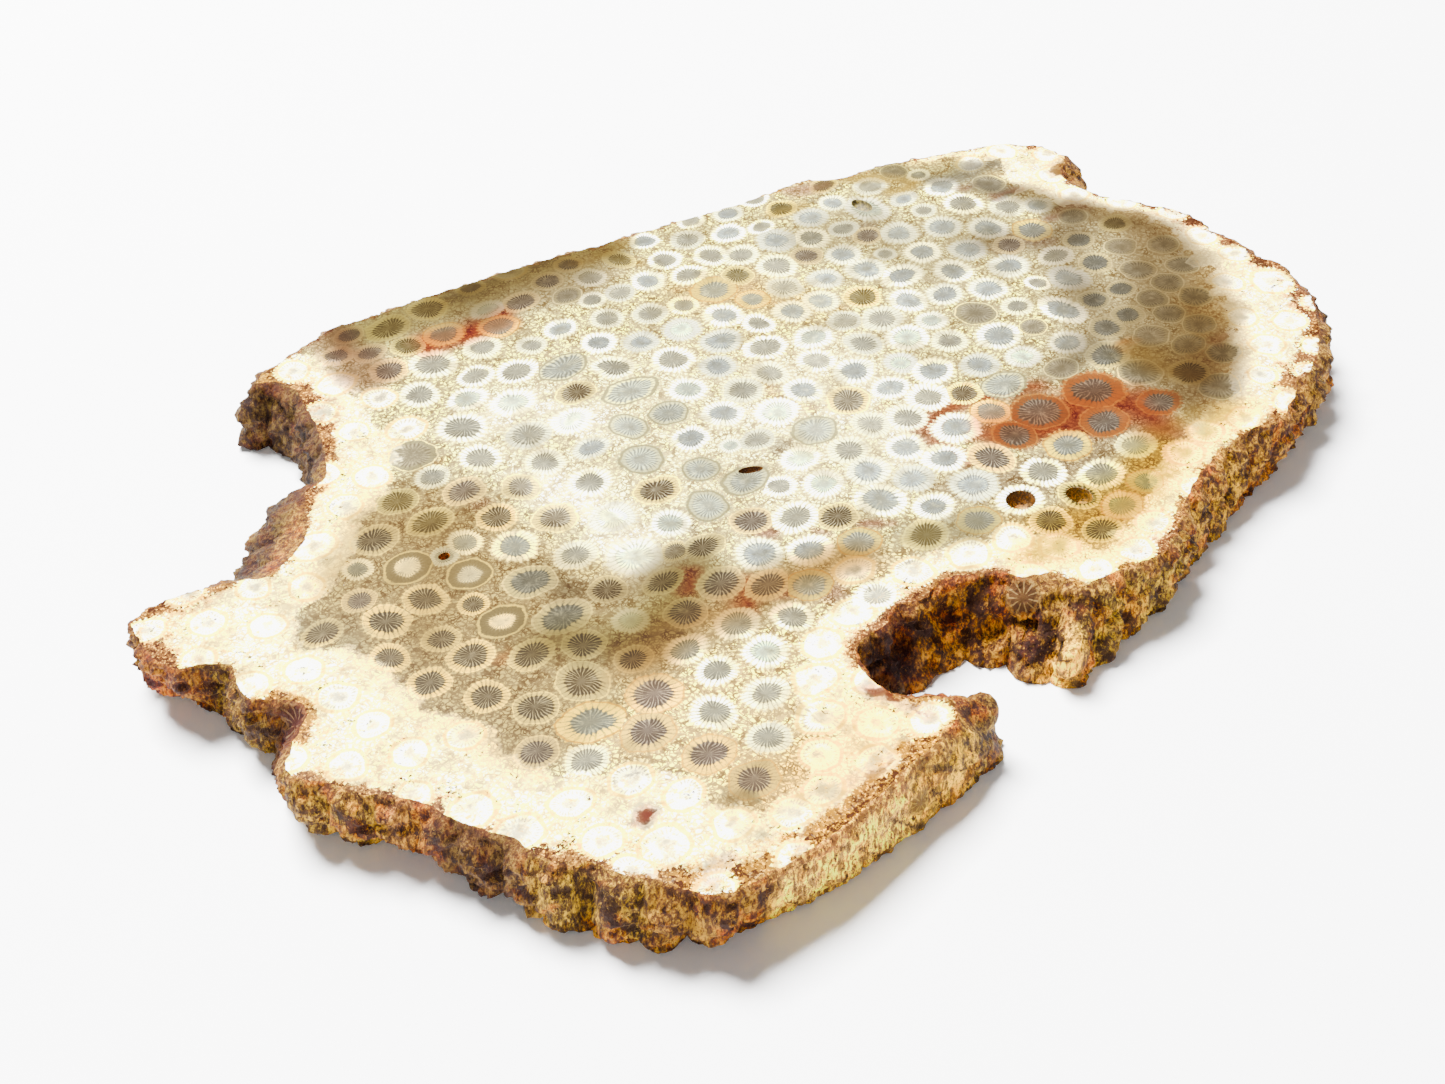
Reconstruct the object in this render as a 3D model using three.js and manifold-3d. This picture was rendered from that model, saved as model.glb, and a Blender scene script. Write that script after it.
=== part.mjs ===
// A slice of agatized colonial coral, sawn across the colony and polished on its upper face.
//
// The slab lies flat: the polished face looks up along +Z, the sawn base rests at Z = 0, and the
// long way of the slab runs along X. Only the two broad faces are flat. The rim is the broken and
// weathered side of the colony, where the stems of the corallites stand as upright columns.

import * as THREE from 'three';
import { mergeVertices } from 'three/addons/utils/BufferGeometryUtils.js';
import Module from 'manifold-3d';

const wasm = await Module();
wasm.setup();

// ---- Driving dimensions, in millimetres ----

const THICKNESS = 10.5;
const RIM_STEP = 1.65; // distance between neighbouring upright lines of the rim
const COLUMN_PITCH = 5.6; // width of one corallite stem where it shows in the rim
const COLUMN_BULGE = 1.15; // how far a stem swells out between its two grooves
const LUMP = 0.7; // weathered lumps on the stems
const EDGE_ROUND = 0.45; // wear of the two sharp edges

// Depths of the rings of points down the rim, as shares of the thickness.
const RING_DEPTHS = [0, 0.06, 0.24, 0.43, 0.62, 0.8, 0.94, 1];

// ---- The rim ----
//
// Each station is [top x, top y, foot x, foot y, belly]: a point of the edge of the polished face,
// the point of the base edge below it, and how far the wall swells out between the two.
// The stations run clockwise as seen from above.

const LEFT_TIP = [
  [-82.8, 22.9, -80.0, 24.6, 0.6],
  [-81.6, 26.2, -79.0, 27.6, 0.6],
  [-76.7, 26.8, -75.6, 28.8, 0.8],
  [-72.0, 25.2, -72.0, 27.8, 0.8],
  [-67.6, 23.3, -69.6, 27.0, 1.0],
];

const MIDDLE_SPUR = [
  [-65.3, 21.3, -68.0, 28.0, 1.6],
  [-61.6, 21.8, -65.6, 30.0, 2.8],
  [-57.1, 24.1, -61.6, 32.6, 3.2],
  [-54.2, 28.2, -58.4, 35.0, 2.8],
  [-51.2, 31.8, -54.6, 37.4, 1.8],
  [-48.4, 31.9, -50.6, 37.0, 1.2],
];

const REAR_SPUR = [
  [-45.3, 35.8, -46.8, 38.4, 0.5],
  [-43.6, 38.9, -44.8, 41.0, 0.6],
  [-41.6, 43.4, -42.8, 44.8, 0.6],
  [-40.2, 47.4, -41.4, 48.6, 0.8],
  [-39.2, 50.8, -41.8, 52.0, 0.8],
  [-39.9, 54.0, -42.8, 55.0, 0.8],
  [-41.9, 56.2, -44.4, 57.8, 0.6],
  [-39.4, 57.6, -42.0, 59.8, 0.6],
];

const BACK_EDGE = [
  [-34.5, 58.2, -35.0, 59.8, 0.6],
  [-30.1, 59.2, -30.2, 60.4, 0.6],
  [-23.7, 59.0, -23.4, 60.0, 0.6],
  [-18.8, 57.2, -18.4, 58.4, 0.7],
  [-12.2, 56.0, -11.8, 57.0, 0.6],
  [-6.0, 54.3, -5.6, 55.4, 0.6],
  [2.0, 51.9, 2.4, 53.0, 0.5],
  [10.0, 49.3, 10.4, 50.2, 0.6],
  [18.7, 46.2, 19.2, 47.4, 0.7],
  [27.0, 43.8, 27.4, 44.8, 0.5],
  [34.9, 40.9, 35.2, 41.8, 0.6],
  [42.0, 38.9, 42.4, 40.0, 0.7],
  [49.5, 37.4, 50.2, 38.2, 0.6],
  [54.3, 33.6, 55.0, 34.6, 0.7],
  [61.6, 31.4, 62.2, 32.4, 0.6],
  [67.7, 28.2, 68.4, 29.2, 0.7],
  [73.8, 24.9, 74.4, 26.0, 0.8],
];

const FAR_END = [
  [79.6, 21.5, 80.2, 22.4, 0.8],
  [83.2, 16.8, 84.0, 17.0, 0.6],
  [83.7, 13.2, 85.4, 13.0, 0.6],
  [83.2, 10.4, 86.2, 9.4, 0.8],
  [79.6, 8.6, 85.0, 5.6, 1.2],
  [77.6, 5.9, 82.8, 3.0, 1.2],
  [77.3, 2.4, 79.8, 0.4, 0.7],
  [78.0, -1.9, 79.2, -2.2, 0.8],
  [79.8, -6.0, 80.8, -6.2, 0.8],
  [81.8, -11.8, 82.4, -12.0, 0.8],
  [81.3, -16.8, 82.0, -17.0, 0.8],
  [80.1, -21.0, 81.4, -21.2, 0.8],
  [80.4, -24.0, 80.8, -24.8, 0.8],
  [78.6, -27.4, 79.8, -28.0, 0.9],
  [79.4, -31.0, 79.0, -31.8, 1.0],
  [76.6, -36.4, 76.6, -37.0, 1.2],
  [74.2, -40.4, 73.6, -41.2, 1.5],
  [70.2, -43.8, 69.4, -44.8, 1.4],
  [66.2, -46.9, 65.2, -47.4, 1.4],
];

const NEAR_EDGE = [
  [60.8, -49.4, 60.2, -48.9, 1.1],
  [54.9, -50.6, 54.4, -50.2, 0.9],
  [50.3, -52.4, 49.6, -51.0, 0.9],
  [46.3, -53.1, 45.6, -51.8, 0.9],
  [41.4, -51.6, 41.0, -52.4, 0.8],
  [35.4, -51.5, 35.0, -53.4, 0.7],
  [29.4, -52.2, 29.4, -54.2, 0.7],
  [24.2, -53.9, 24.8, -55.2, 0.9],
  [19.4, -56.2, 19.0, -55.7, 0.9],
  [14.1, -57.9, 13.0, -56.6, 0.9],
  [8.0, -56.2, 6.4, -57.2, 0.7],
  [3.6, -54.9, 0.2, -57.9, 0.8],
];

const NEAR_BAY = [
  [0.9, -54.3, -3.6, -58.2, 0.8],
  [1.2, -52.2, -5.8, -56.2, 0.8],
  [0.2, -49.6, -7.0, -53.0, 0.4],
  [-2.2, -47.7, -7.6, -50.0, 0.0],
  [-3.2, -45.4, -8.4, -47.6, -0.6],
  [-6.0, -43.2, -9.6, -45.9, -0.9],
  [-9.4, -40.9, -11.6, -45.2, -1.4],
  [-12.6, -41.9, -13.9, -44.8, -0.6],
  [-16.6, -40.2, -16.8, -44.7, -1.2],
  [-19.4, -41.6, -19.6, -44.9, -0.8],
  [-22.6, -41.0, -21.9, -45.2, -1.2],
  [-25.9, -42.4, -23.6, -46.4, -0.6],
  [-27.2, -45.6, -23.9, -48.4, -0.4],
  [-27.7, -48.8, -23.2, -50.4, 0.2],
  [-26.4, -51.2, -21.6, -52.0, 0.8],
  [-24.1, -53.6, -19.2, -53.4, 1.0],
  [-23.8, -55.8, -17.0, -55.4, 1.0],
];

const NEAR_CORNER = [
  [-25.8, -57.6, -17.6, -58.3, 0.8],
  [-29.8, -58.6, -22.6, -59.4, 0.7],
  [-35.0, -58.7, -31.0, -59.5, 0.5],
  [-41.4, -59.3, -40.4, -59.0, 0.4],
  [-47.6, -59.4, -47.0, -58.4, 0.5],
  [-53.9, -58.9, -53.4, -56.6, 0.6],
  [-59.4, -57.8, -58.7, -54.8, 0.9],
  [-63.2, -56.3, -62.4, -53.2, 1.2],
  [-65.3, -53.0, -65.2, -51.2, 1.2],
  [-66.8, -49.2, -67.4, -48.6, 1.2],
  [-68.9, -46.2, -69.6, -45.5, 1.0],
  [-69.6, -43.0, -70.4, -43.0, 0.4],
  [-71.8, -40.8, -72.3, -40.3, 1.2],
];

const LEFT_EDGE = [
  [-72.8, -37.4, -72.6, -36.8, 1.2],
  [-72.9, -34.4, -72.8, -33.8, 1.2],
  [-74.4, -31.0, -73.9, -30.4, 1.4],
  [-75.6, -27.2, -74.6, -26.3, 1.4],
  [-76.3, -23.3, -74.4, -22.4, 1.8],
  [-77.9, -20.2, -75.4, -18.6, 2.0],
  [-80.2, -17.3, -78.0, -15.5, 2.0],
  [-81.3, -13.6, -80.1, -12.0, 2.0],
  [-83.2, -10.6, -80.7, -8.8, 1.6],
  [-83.7, -8.3, -80.6, -6.0, 1.4],
  [-82.0, -5.8, -80.4, -3.2, 1.0],
  [-78.6, -3.7, -79.8, -0.8, 0.4],
  [-76.3, -1.4, -79.0, 1.6, 0.2],
  [-77.2, 1.5, -78.0, 4.4, 0.4],
  [-79.7, 4.6, -77.5, 6.8, 1.2],
  [-79.3, 7.8, -78.5, 9.4, 0.6],
  [-77.9, 10.3, -78.6, 11.8, 0.2],
  [-79.6, 12.7, -78.0, 14.3, -0.2],
  [-82.9, 15.1, -78.9, 17.4, 0.6],
  [-83.5, 19.2, -79.4, 21.0, 1.2],
];

const STATIONS = [
  ...LEFT_TIP,
  ...MIDDLE_SPUR,
  ...REAR_SPUR,
  ...BACK_EDGE,
  ...FAR_END,
  ...NEAR_EDGE,
  ...NEAR_BAY,
  ...NEAR_CORNER,
  ...LEFT_EDGE,
];

// ---- Single features: centre, half sizes along x, y and z, and turn about Z in degrees ----

// Open holes where a corallite's filling has dropped out of the polished face.
const PITS = [
  { at: [9.6, -38.2], radii: [2.1, 1.9], depth: 4.5, turn: 0 },
  { at: [15.6, -42.9], radii: [1.6, 2.0], depth: 3.8, turn: 0 },
  { at: [-47.4, 7.6], radii: [0.9, 0.8], depth: 2.0, turn: 0 },
  { at: [50.2, 24.8], radii: [1.3, 2.2], depth: 1.2, turn: -10 },
  { at: [-9.2, -8.4], radii: [1.7, 0.8], depth: 1.0, turn: -15 },
];

// Caves in the wall of the bay, a crevice between two stems and a broken cup in the left edge.
const CAVES = [
  { at: [-24.2, -44.2, 6.8], radii: [2.7, 2.3, 4.6], turn: 20 },
  { at: [-17.4, -41.9, 6.6], radii: [2.3, 2.2, 2.6], turn: 0 },
  { at: [-9.8, -42.6, 6.9], radii: [2.7, 2.3, 2.4], turn: -10 },
  { at: [-13.4, -43.9, 5.0], radii: [0.9, 1.4, 4.2], turn: 0 },
  { at: [-6.6, -46.8, 4.2], radii: [2.2, 1.9, 2.4], turn: -30 },
  { at: [-3.4, -50.6, 4.6], radii: [1.8, 1.4, 1.7], turn: -60 },
  { at: [-71.2, -43.0, 5.4], radii: [2.4, 0.9, 4.4], turn: 20 },
  { at: [-78.9, -0.6, 10.4], radii: [2.6, 2.2, 3.4], turn: 0 },
];

// Stems and knobs that stand clear of the wall.
const KNOBS = [
  { at: [-20.9, -56.6, 7.0], radii: [2.5, 2.2, 2.7], turn: 0 },
  { at: [-71.3, -39.9, 5.0], radii: [2.1, 1.9, 4.7], turn: 0 },
  { at: [-67.6, -46.1, 5.0], radii: [2.3, 2.4, 4.7], turn: 0 },
  { at: [-3.4, -57.0, 4.4], radii: [2.4, 1.6, 3.6], turn: -10 },
  { at: [-2.2, -47.8, 7.2], radii: [2.3, 2.0, 2.2], turn: 0 },
];

// ---- Helpers ----

/** A repeatable number from 0 to 1 for the pair a, b. */
function scatter(a, b) {
  const value = Math.sin(a * 12.9898 + b * 78.233) * 43758.5453;
  return value - Math.floor(value);
}

/** A repeatable smooth number from -1 to 1 along position s, in row b. */
function smoothScatter(s, b) {
  const cell = Math.floor(s);
  const share = s - cell;
  const ease = share * share * (3 - 2 * share);
  return 2 * THREE.MathUtils.lerp(scatter(cell, b), scatter(cell + 1, b), ease) - 1;
}

/** A closed smooth curve through the stations' points; column picks the top (0) or foot (2) pair. */
function edgeCurve(column) {
  const points = STATIONS.map((station) => new THREE.Vector3(station[column], station[column + 1], 0));
  return new THREE.CatmullRomCurve3(points, true, 'centripetal');
}

/** The belly of the wall at share t of the way round. */
function bellyAt(t) {
  const place = t * STATIONS.length;
  const first = Math.floor(place) % STATIONS.length;
  const second = (first + 1) % STATIONS.length;
  return THREE.MathUtils.lerp(STATIONS[first][4], STATIONS[second][4], place - Math.floor(place));
}

/** Upright lines of the rim, evenly spaced: each has its top, foot, outward direction and distance. */
function rimLines() {
  const topCurve = edgeCurve(0);
  const footCurve = edgeCurve(2);
  const middleAt = (t) => topCurve.getPoint(t).lerp(footCurve.getPoint(t), 0.5);
  const fine = STATIONS.length * 12;
  const walked = [0];
  for (let i = 1; i <= fine; i++) {
    const stride = middleAt(i / fine).distanceTo(middleAt((i - 1) / fine));
    walked.push(walked[i - 1] + stride);
  }
  const around = walked[fine];
  const count = Math.round(around / RIM_STEP);
  const lines = [];
  let place = 0;
  for (let i = 0; i < count; i++) {
    const distance = (i * around) / count;
    while (walked[place + 1] <= distance) place++;
    const share = (distance - walked[place]) / (walked[place + 1] - walked[place]);
    const t = (place + share) / fine;
    const along = middleAt(t + 0.003).sub(middleAt(t - 0.003)).normalize();
    lines.push({
      top: topCurve.getPoint(t),
      foot: footCurve.getPoint(t),
      outward: new THREE.Vector3(-along.y, along.x, 0),
      belly: bellyAt(t),
      stem: (distance / around) * Math.round(around / COLUMN_PITCH),
    });
  }
  return lines;
}

/** The point of an upright line at a depth given as a share of the thickness. */
function rimPoint(line, depth) {
  const point = line.top.clone().lerp(line.foot, depth);
  const swell = 4 * depth * (1 - depth);
  const stemNumber = Math.floor(line.stem);
  const across = Math.sin(Math.PI * (line.stem - stemNumber));
  const size = 0.5 + scatter(stemNumber, 1);
  const reach = Math.min(1, 5 * depth);
  const column = COLUMN_BULGE * size * (Math.pow(across, 0.7) - 0.62) * reach;
  const lump = LUMP * smoothScatter(line.stem * 1.9, Math.round(depth * 10)) * Math.min(1, 4 * swell);
  const worn = depth === 0 || depth === 1 ? EDGE_ROUND : 0;
  point.addScaledVector(line.outward, line.belly * swell + column + lump - worn);
  point.z = THICKNESS * (1 - depth);
  return point;
}

/** The slab before any hole or knob: rings of rim points closed by the two flat faces. */
function slabGeometry() {
  const lines = rimLines();
  const rings = RING_DEPTHS.map((depth) => lines.map((line) => rimPoint(line, depth)));
  const count = lines.length;
  const triangles = [];
  for (let ring = 0; ring < rings.length - 1; ring++) {
    for (let i = 0; i < count; i++) {
      const next = (i + 1) % count;
      const upper = ring * count;
      const lower = upper + count;
      triangles.push(upper + i, upper + next, lower + i);
      triangles.push(upper + next, lower + next, lower + i);
    }
  }
  const flat = (ring) => ring.map((point) => new THREE.Vector2(point.x, point.y));
  const last = (rings.length - 1) * count;
  const topIsLeftTurning = !THREE.ShapeUtils.isClockWise(flat(rings[0]));
  for (const [a, b, c] of THREE.ShapeUtils.triangulateShape(flat(rings[0]), [])) {
    triangles.push(...(topIsLeftTurning ? [c, b, a] : [a, b, c]));
  }
  for (const [a, b, c] of THREE.ShapeUtils.triangulateShape(flat(rings.at(-1)), [])) {
    triangles.push(...(topIsLeftTurning ? [last + a, last + b, last + c] : [last + c, last + b, last + a]));
  }
  const geometry = new THREE.BufferGeometry().setFromPoints(rings.flat());
  geometry.setIndex(triangles);
  return geometry;
}

/** A rounded lump for cutting or adding, in facets. */
function lumpGeometry({ at, radii, turn }) {
  const geometry = new THREE.IcosahedronGeometry(1, 2);
  geometry.scale(...radii);
  geometry.rotateZ(THREE.MathUtils.degToRad(turn));
  geometry.translate(...at);
  return geometry;
}

/** A round-bottomed hole that opens in the polished face. */
function pitGeometry({ at, radii, depth, turn }) {
  const profile = [
    new THREE.Vector2(0, -depth),
    new THREE.Vector2(0.6, -0.86 * depth),
    new THREE.Vector2(0.88, -0.5 * depth),
    new THREE.Vector2(1, 1),
    new THREE.Vector2(0, 1),
  ];
  const geometry = new THREE.LatheGeometry(profile, 14);
  geometry.rotateX(Math.PI / 2);
  geometry.scale(radii[0], radii[1], 1);
  geometry.rotateZ(THREE.MathUtils.degToRad(turn));
  geometry.translate(at[0], at[1], THICKNESS);
  return geometry;
}

/** A closed mesh as a solid that can be joined and cut. */
function solidOf(geometry) {
  geometry.deleteAttribute('normal');
  geometry.deleteAttribute('uv');
  const merged = mergeVertices(geometry, 1e-4);
  const mesh = new wasm.Mesh({
    numProp: 3,
    vertProperties: new Float32Array(merged.attributes.position.array),
    triVerts: new Uint32Array(merged.index.array),
  });
  return new wasm.Manifold(mesh);
}

/** A solid back as a geometry, with its box centred over the origin and its base at Z = 0. */
function centredGeometryOf(solid) {
  const mesh = solid.getMesh();
  const geometry = new THREE.BufferGeometry();
  geometry.setAttribute('position', new THREE.BufferAttribute(mesh.vertProperties, 3));
  geometry.setIndex(new THREE.BufferAttribute(mesh.triVerts, 1));
  geometry.computeBoundingBox();
  const centre = geometry.boundingBox.getCenter(new THREE.Vector3());
  geometry.translate(-centre.x, -centre.y, 0);
  geometry.computeVertexNormals();
  return geometry;
}

// ---- The slice ----

let slice = solidOf(slabGeometry());
for (const knob of KNOBS) slice = slice.add(solidOf(lumpGeometry(knob)));
for (const cave of CAVES) slice = slice.subtract(solidOf(lumpGeometry(cave)));
for (const pit of PITS) slice = slice.subtract(solidOf(pitGeometry(pit)));

const agate = new THREE.MeshStandardMaterial({ color: 0xd9ccb0, roughness: 0.35, metalness: 0 });
const coralSlice = new THREE.Mesh(centredGeometryOf(slice), agate);
coralSlice.name = 'coral_slice';

const fossil = new THREE.Group();
fossil.add(coralSlice);

export default fossil;
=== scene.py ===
"""A slice of agatized colonial coral: the dressed visual model over its plain solid.

Shapes are worked out in millimetres on the plan that the solid's rim table uses, and MM and
PLAN_SHIFT bring them into the frame, in metres, when a mesh is made.
"""

import logging
import math
from dataclasses import dataclass, field
from enum import Enum

import bmesh
import bpy
import numpy as np
from mathutils import Matrix, Vector, geometry, noise


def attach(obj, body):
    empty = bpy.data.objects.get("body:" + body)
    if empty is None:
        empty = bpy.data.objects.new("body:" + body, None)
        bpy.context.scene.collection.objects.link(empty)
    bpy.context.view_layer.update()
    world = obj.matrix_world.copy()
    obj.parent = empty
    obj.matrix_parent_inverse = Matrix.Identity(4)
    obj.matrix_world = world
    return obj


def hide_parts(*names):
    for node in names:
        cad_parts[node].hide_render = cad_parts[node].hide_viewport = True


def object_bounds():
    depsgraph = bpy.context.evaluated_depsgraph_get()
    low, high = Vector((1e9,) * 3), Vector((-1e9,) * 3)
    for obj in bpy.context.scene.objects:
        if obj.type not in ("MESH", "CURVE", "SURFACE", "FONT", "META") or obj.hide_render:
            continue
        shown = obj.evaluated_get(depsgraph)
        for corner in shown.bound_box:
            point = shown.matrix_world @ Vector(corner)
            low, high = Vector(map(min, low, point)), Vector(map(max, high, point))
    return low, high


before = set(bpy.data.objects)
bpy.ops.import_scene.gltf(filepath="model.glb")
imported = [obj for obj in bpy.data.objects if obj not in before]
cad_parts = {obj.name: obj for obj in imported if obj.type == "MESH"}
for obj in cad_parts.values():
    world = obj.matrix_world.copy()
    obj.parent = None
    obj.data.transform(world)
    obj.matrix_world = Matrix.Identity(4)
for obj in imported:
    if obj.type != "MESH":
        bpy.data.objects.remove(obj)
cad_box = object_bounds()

log = logging.getLogger("fossil_coral")

Tone = tuple[int, int, int]
Factors = tuple[float, float, float]
Place = tuple[float, float, float]
Line = tuple[tuple[float, float], ...]
BMesh, BMVert, BMFace = bmesh.types.BMesh, bmesh.types.BMVert, bmesh.types.BMFace
Node, Socket, Tree = bpy.types.Node, bpy.types.NodeSocket, bpy.types.NodeTree
Material, Collection = bpy.types.Material, bpy.types.bpy_prop_collection

MM = 0.001
PLAN_SHIFT = np.array([1.075, 0.652])
THICKNESS = 10.5
STUDIO_LIGHT = 8.5  # how bright a white surface lies under the studio light
RIM_LIGHT = 4.0  # how bright a white wall stands in it
MOST_SEPTA = 64.0  # a corallite keeps its number of septa as a share of this
MOST_VERTICES = 100000  # more than the mesh has

# ---- The rim table: [top x, top y, foot x, foot y, belly], clockwise as seen from above ----

LEFT_TIP = (
    (-82.8, 22.9, -80, 24.6, 0.6), (-81.6, 26.2, -79, 27.6, 0.6), (-76.7, 26.8, -75.6, 28.8, 0.8),
    (-72, 25.2, -72, 27.8, 0.8), (-67.6, 23.3, -69.6, 27, 1),
)
MIDDLE_SPUR = (
    (-65.3, 21.3, -68, 28, 1.6), (-61.6, 21.8, -65.6, 30, 2.8), (-57.1, 24.1, -61.6, 32.6, 3.2),
    (-54.2, 28.2, -58.4, 35, 2.8), (-51.2, 31.8, -54.6, 37.4, 1.8), (-48.4, 31.9, -50.6, 37, 1.2),
)
REAR_SPUR = (
    (-45.3, 35.8, -46.8, 38.4, 0.5), (-43.6, 38.9, -44.8, 41, 0.6), (-41.6, 43.4, -42.8, 44.8, 0.6),
    (-40.2, 47.4, -41.4, 48.6, 0.8), (-39.2, 50.8, -41.8, 52, 0.8), (-39.9, 54, -42.8, 55, 0.8),
    (-41.9, 56.2, -44.4, 57.8, 0.6), (-39.4, 57.6, -42, 59.8, 0.6),
)
BACK_EDGE = (
    (-34.5, 58.2, -35, 59.8, 0.6), (-30.1, 59.2, -30.2, 60.4, 0.6), (-23.7, 59, -23.4, 60, 0.6),
    (-18.8, 57.2, -18.4, 58.4, 0.7), (-12.2, 56, -11.8, 57, 0.6), (-6, 54.3, -5.6, 55.4, 0.6),
    (2, 51.9, 2.4, 53, 0.5), (10, 49.3, 10.4, 50.2, 0.6), (18.7, 46.2, 19.2, 47.4, 0.7),
    (27, 43.8, 27.4, 44.8, 0.5), (34.9, 40.9, 35.2, 41.8, 0.6), (42, 38.9, 42.4, 40, 0.7),
    (49.5, 37.4, 50.2, 38.2, 0.6), (54.3, 33.6, 55, 34.6, 0.7), (61.6, 31.4, 62.2, 32.4, 0.6),
    (67.7, 28.2, 68.4, 29.2, 0.7), (73.8, 24.9, 74.4, 26, 0.8),
)
FAR_END = (
    (79.6, 21.5, 80.2, 22.4, 0.8), (83.2, 16.8, 84, 17, 0.6), (83.7, 13.2, 85.4, 13, 0.6),
    (83.2, 10.4, 86.2, 9.4, 0.8), (79.6, 8.6, 85, 5.6, 1.2), (77.6, 5.9, 82.8, 3, 1.2),
    (77.3, 2.4, 79.8, 0.4, 0.7), (78, -1.9, 79.2, -2.2, 0.8), (79.8, -6, 80.8, -6.2, 0.8),
    (81.8, -11.8, 82.4, -12, 0.8), (81.3, -16.8, 82, -17, 0.8), (80.1, -21, 81.4, -21.2, 0.8),
    (80.4, -24, 80.8, -24.8, 0.8), (78.6, -27.4, 79.8, -28, 0.9), (79.4, -31, 79, -31.8, 1),
    (76.6, -36.4, 76.6, -37, 1.2), (74.2, -40.4, 73.6, -41.2, 1.5), (70.2, -43.8, 69.4, -44.8, 1.4),
    (66.2, -46.9, 65.2, -47.4, 1.4),
)
NEAR_EDGE = (
    (60.8, -49.4, 60.2, -48.9, 1.1), (54.9, -50.6, 54.4, -50.2, 0.9), (50.3, -52.4, 49.6, -51, 0.9),
    (46.3, -53.1, 45.6, -51.8, 0.9), (41.4, -51.6, 41, -52.4, 0.8), (35.4, -51.5, 35, -53.4, 0.7),
    (29.4, -52.2, 29.4, -54.2, 0.7), (24.2, -53.9, 24.8, -55.2, 0.9), (19.4, -56.2, 19, -55.7, 0.9),
    (14.1, -57.9, 13, -56.6, 0.9), (8, -56.2, 6.4, -57.2, 0.7), (3.6, -54.9, 0.2, -57.9, 0.8),
)
NEAR_BAY = (
    (0.9, -54.3, -3.6, -58.2, 0.8), (1.2, -52.2, -5.8, -56.2, 0.8), (0.2, -49.6, -7, -53, 0.4),
    (-2.2, -47.7, -7.6, -50, 0), (-3.2, -45.4, -8.4, -47.6, -0.6), (-6, -43.2, -9.6, -45.9, -0.9),
    (-9.4, -40.9, -11.6, -45.2, -1.4), (-12.6, -41.9, -13.9, -44.8, -0.6),
    (-16.6, -40.2, -16.8, -44.7, -1.2), (-19.4, -41.6, -19.6, -44.9, -0.8),
    (-22.6, -41, -21.9, -45.2, -1.2), (-25.9, -42.4, -23.6, -46.4, -0.6),
    (-27.2, -45.6, -23.9, -48.4, -0.4), (-27.7, -48.8, -23.2, -50.4, 0.2), (-26.4, -51.2, -21.6, -52, 0.8),
    (-24.1, -53.6, -19.2, -53.4, 1), (-23.8, -55.8, -17, -55.4, 1),
)
NEAR_CORNER = (
    (-25.8, -57.6, -17.6, -58.3, 0.8), (-29.8, -58.6, -22.6, -59.4, 0.7), (-35, -58.7, -31, -59.5, 0.5),
    (-41.4, -59.3, -40.4, -59, 0.4), (-47.6, -59.4, -47, -58.4, 0.5), (-53.9, -58.9, -53.4, -56.6, 0.6),
    (-59.4, -57.8, -58.7, -54.8, 0.9), (-63.2, -56.3, -62.4, -53.2, 1.2), (-65.3, -53, -65.2, -51.2, 1.2),
    (-66.8, -49.2, -67.4, -48.6, 1.2), (-68.9, -46.2, -69.6, -45.5, 1), (-69.6, -43, -70.4, -43, 0.4),
    (-71.8, -40.8, -72.3, -40.3, 1.2),
)
LEFT_EDGE = (
    (-72.8, -37.4, -72.6, -36.8, 1.2), (-72.9, -34.4, -72.8, -33.8, 1.2), (-74.4, -31, -73.9, -30.4, 1.4),
    (-75.6, -27.2, -74.6, -26.3, 1.4), (-76.3, -23.3, -74.4, -22.4, 1.8), (-77.9, -20.2, -75.4, -18.6, 2),
    (-80.2, -17.3, -78, -15.5, 2), (-81.3, -13.6, -80.1, -12, 2), (-83.2, -10.6, -80.7, -8.8, 1.6),
    (-83.7, -8.3, -80.6, -6, 1.4), (-82, -5.8, -80.4, -3.2, 1), (-78.6, -3.7, -79.8, -0.8, 0.4),
    (-76.3, -1.4, -79, 1.6, 0.2), (-77.2, 1.5, -78, 4.4, 0.4), (-79.7, 4.6, -77.5, 6.8, 1.2),
    (-79.3, 7.8, -78.5, 9.4, 0.6), (-77.9, 10.3, -78.6, 11.8, 0.2), (-79.6, 12.7, -78, 14.3, -0.2),
    (-82.9, 15.1, -78.9, 17.4, 0.6), (-83.5, 19.2, -79.4, 21, 1.2),
)
STATIONS = np.array(
    LEFT_TIP + MIDDLE_SPUR + REAR_SPUR + BACK_EDGE + FAR_END + NEAR_EDGE + NEAR_BAY + NEAR_CORNER + LEFT_EDGE
)


@dataclass(frozen=True)
class Lump:
    """An ellipsoid that stands out of the rim or is eaten into it: centre, half sizes, turn in degrees."""

    at: Place
    radii: Place
    turn: float = 0.0


@dataclass(frozen=True)
class Pit:
    """An open hole in the polished face: centre, half sizes, depth and turn in degrees."""

    at: tuple[float, float]
    radii: tuple[float, float]
    depth: float
    turn: float = 0.0


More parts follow.
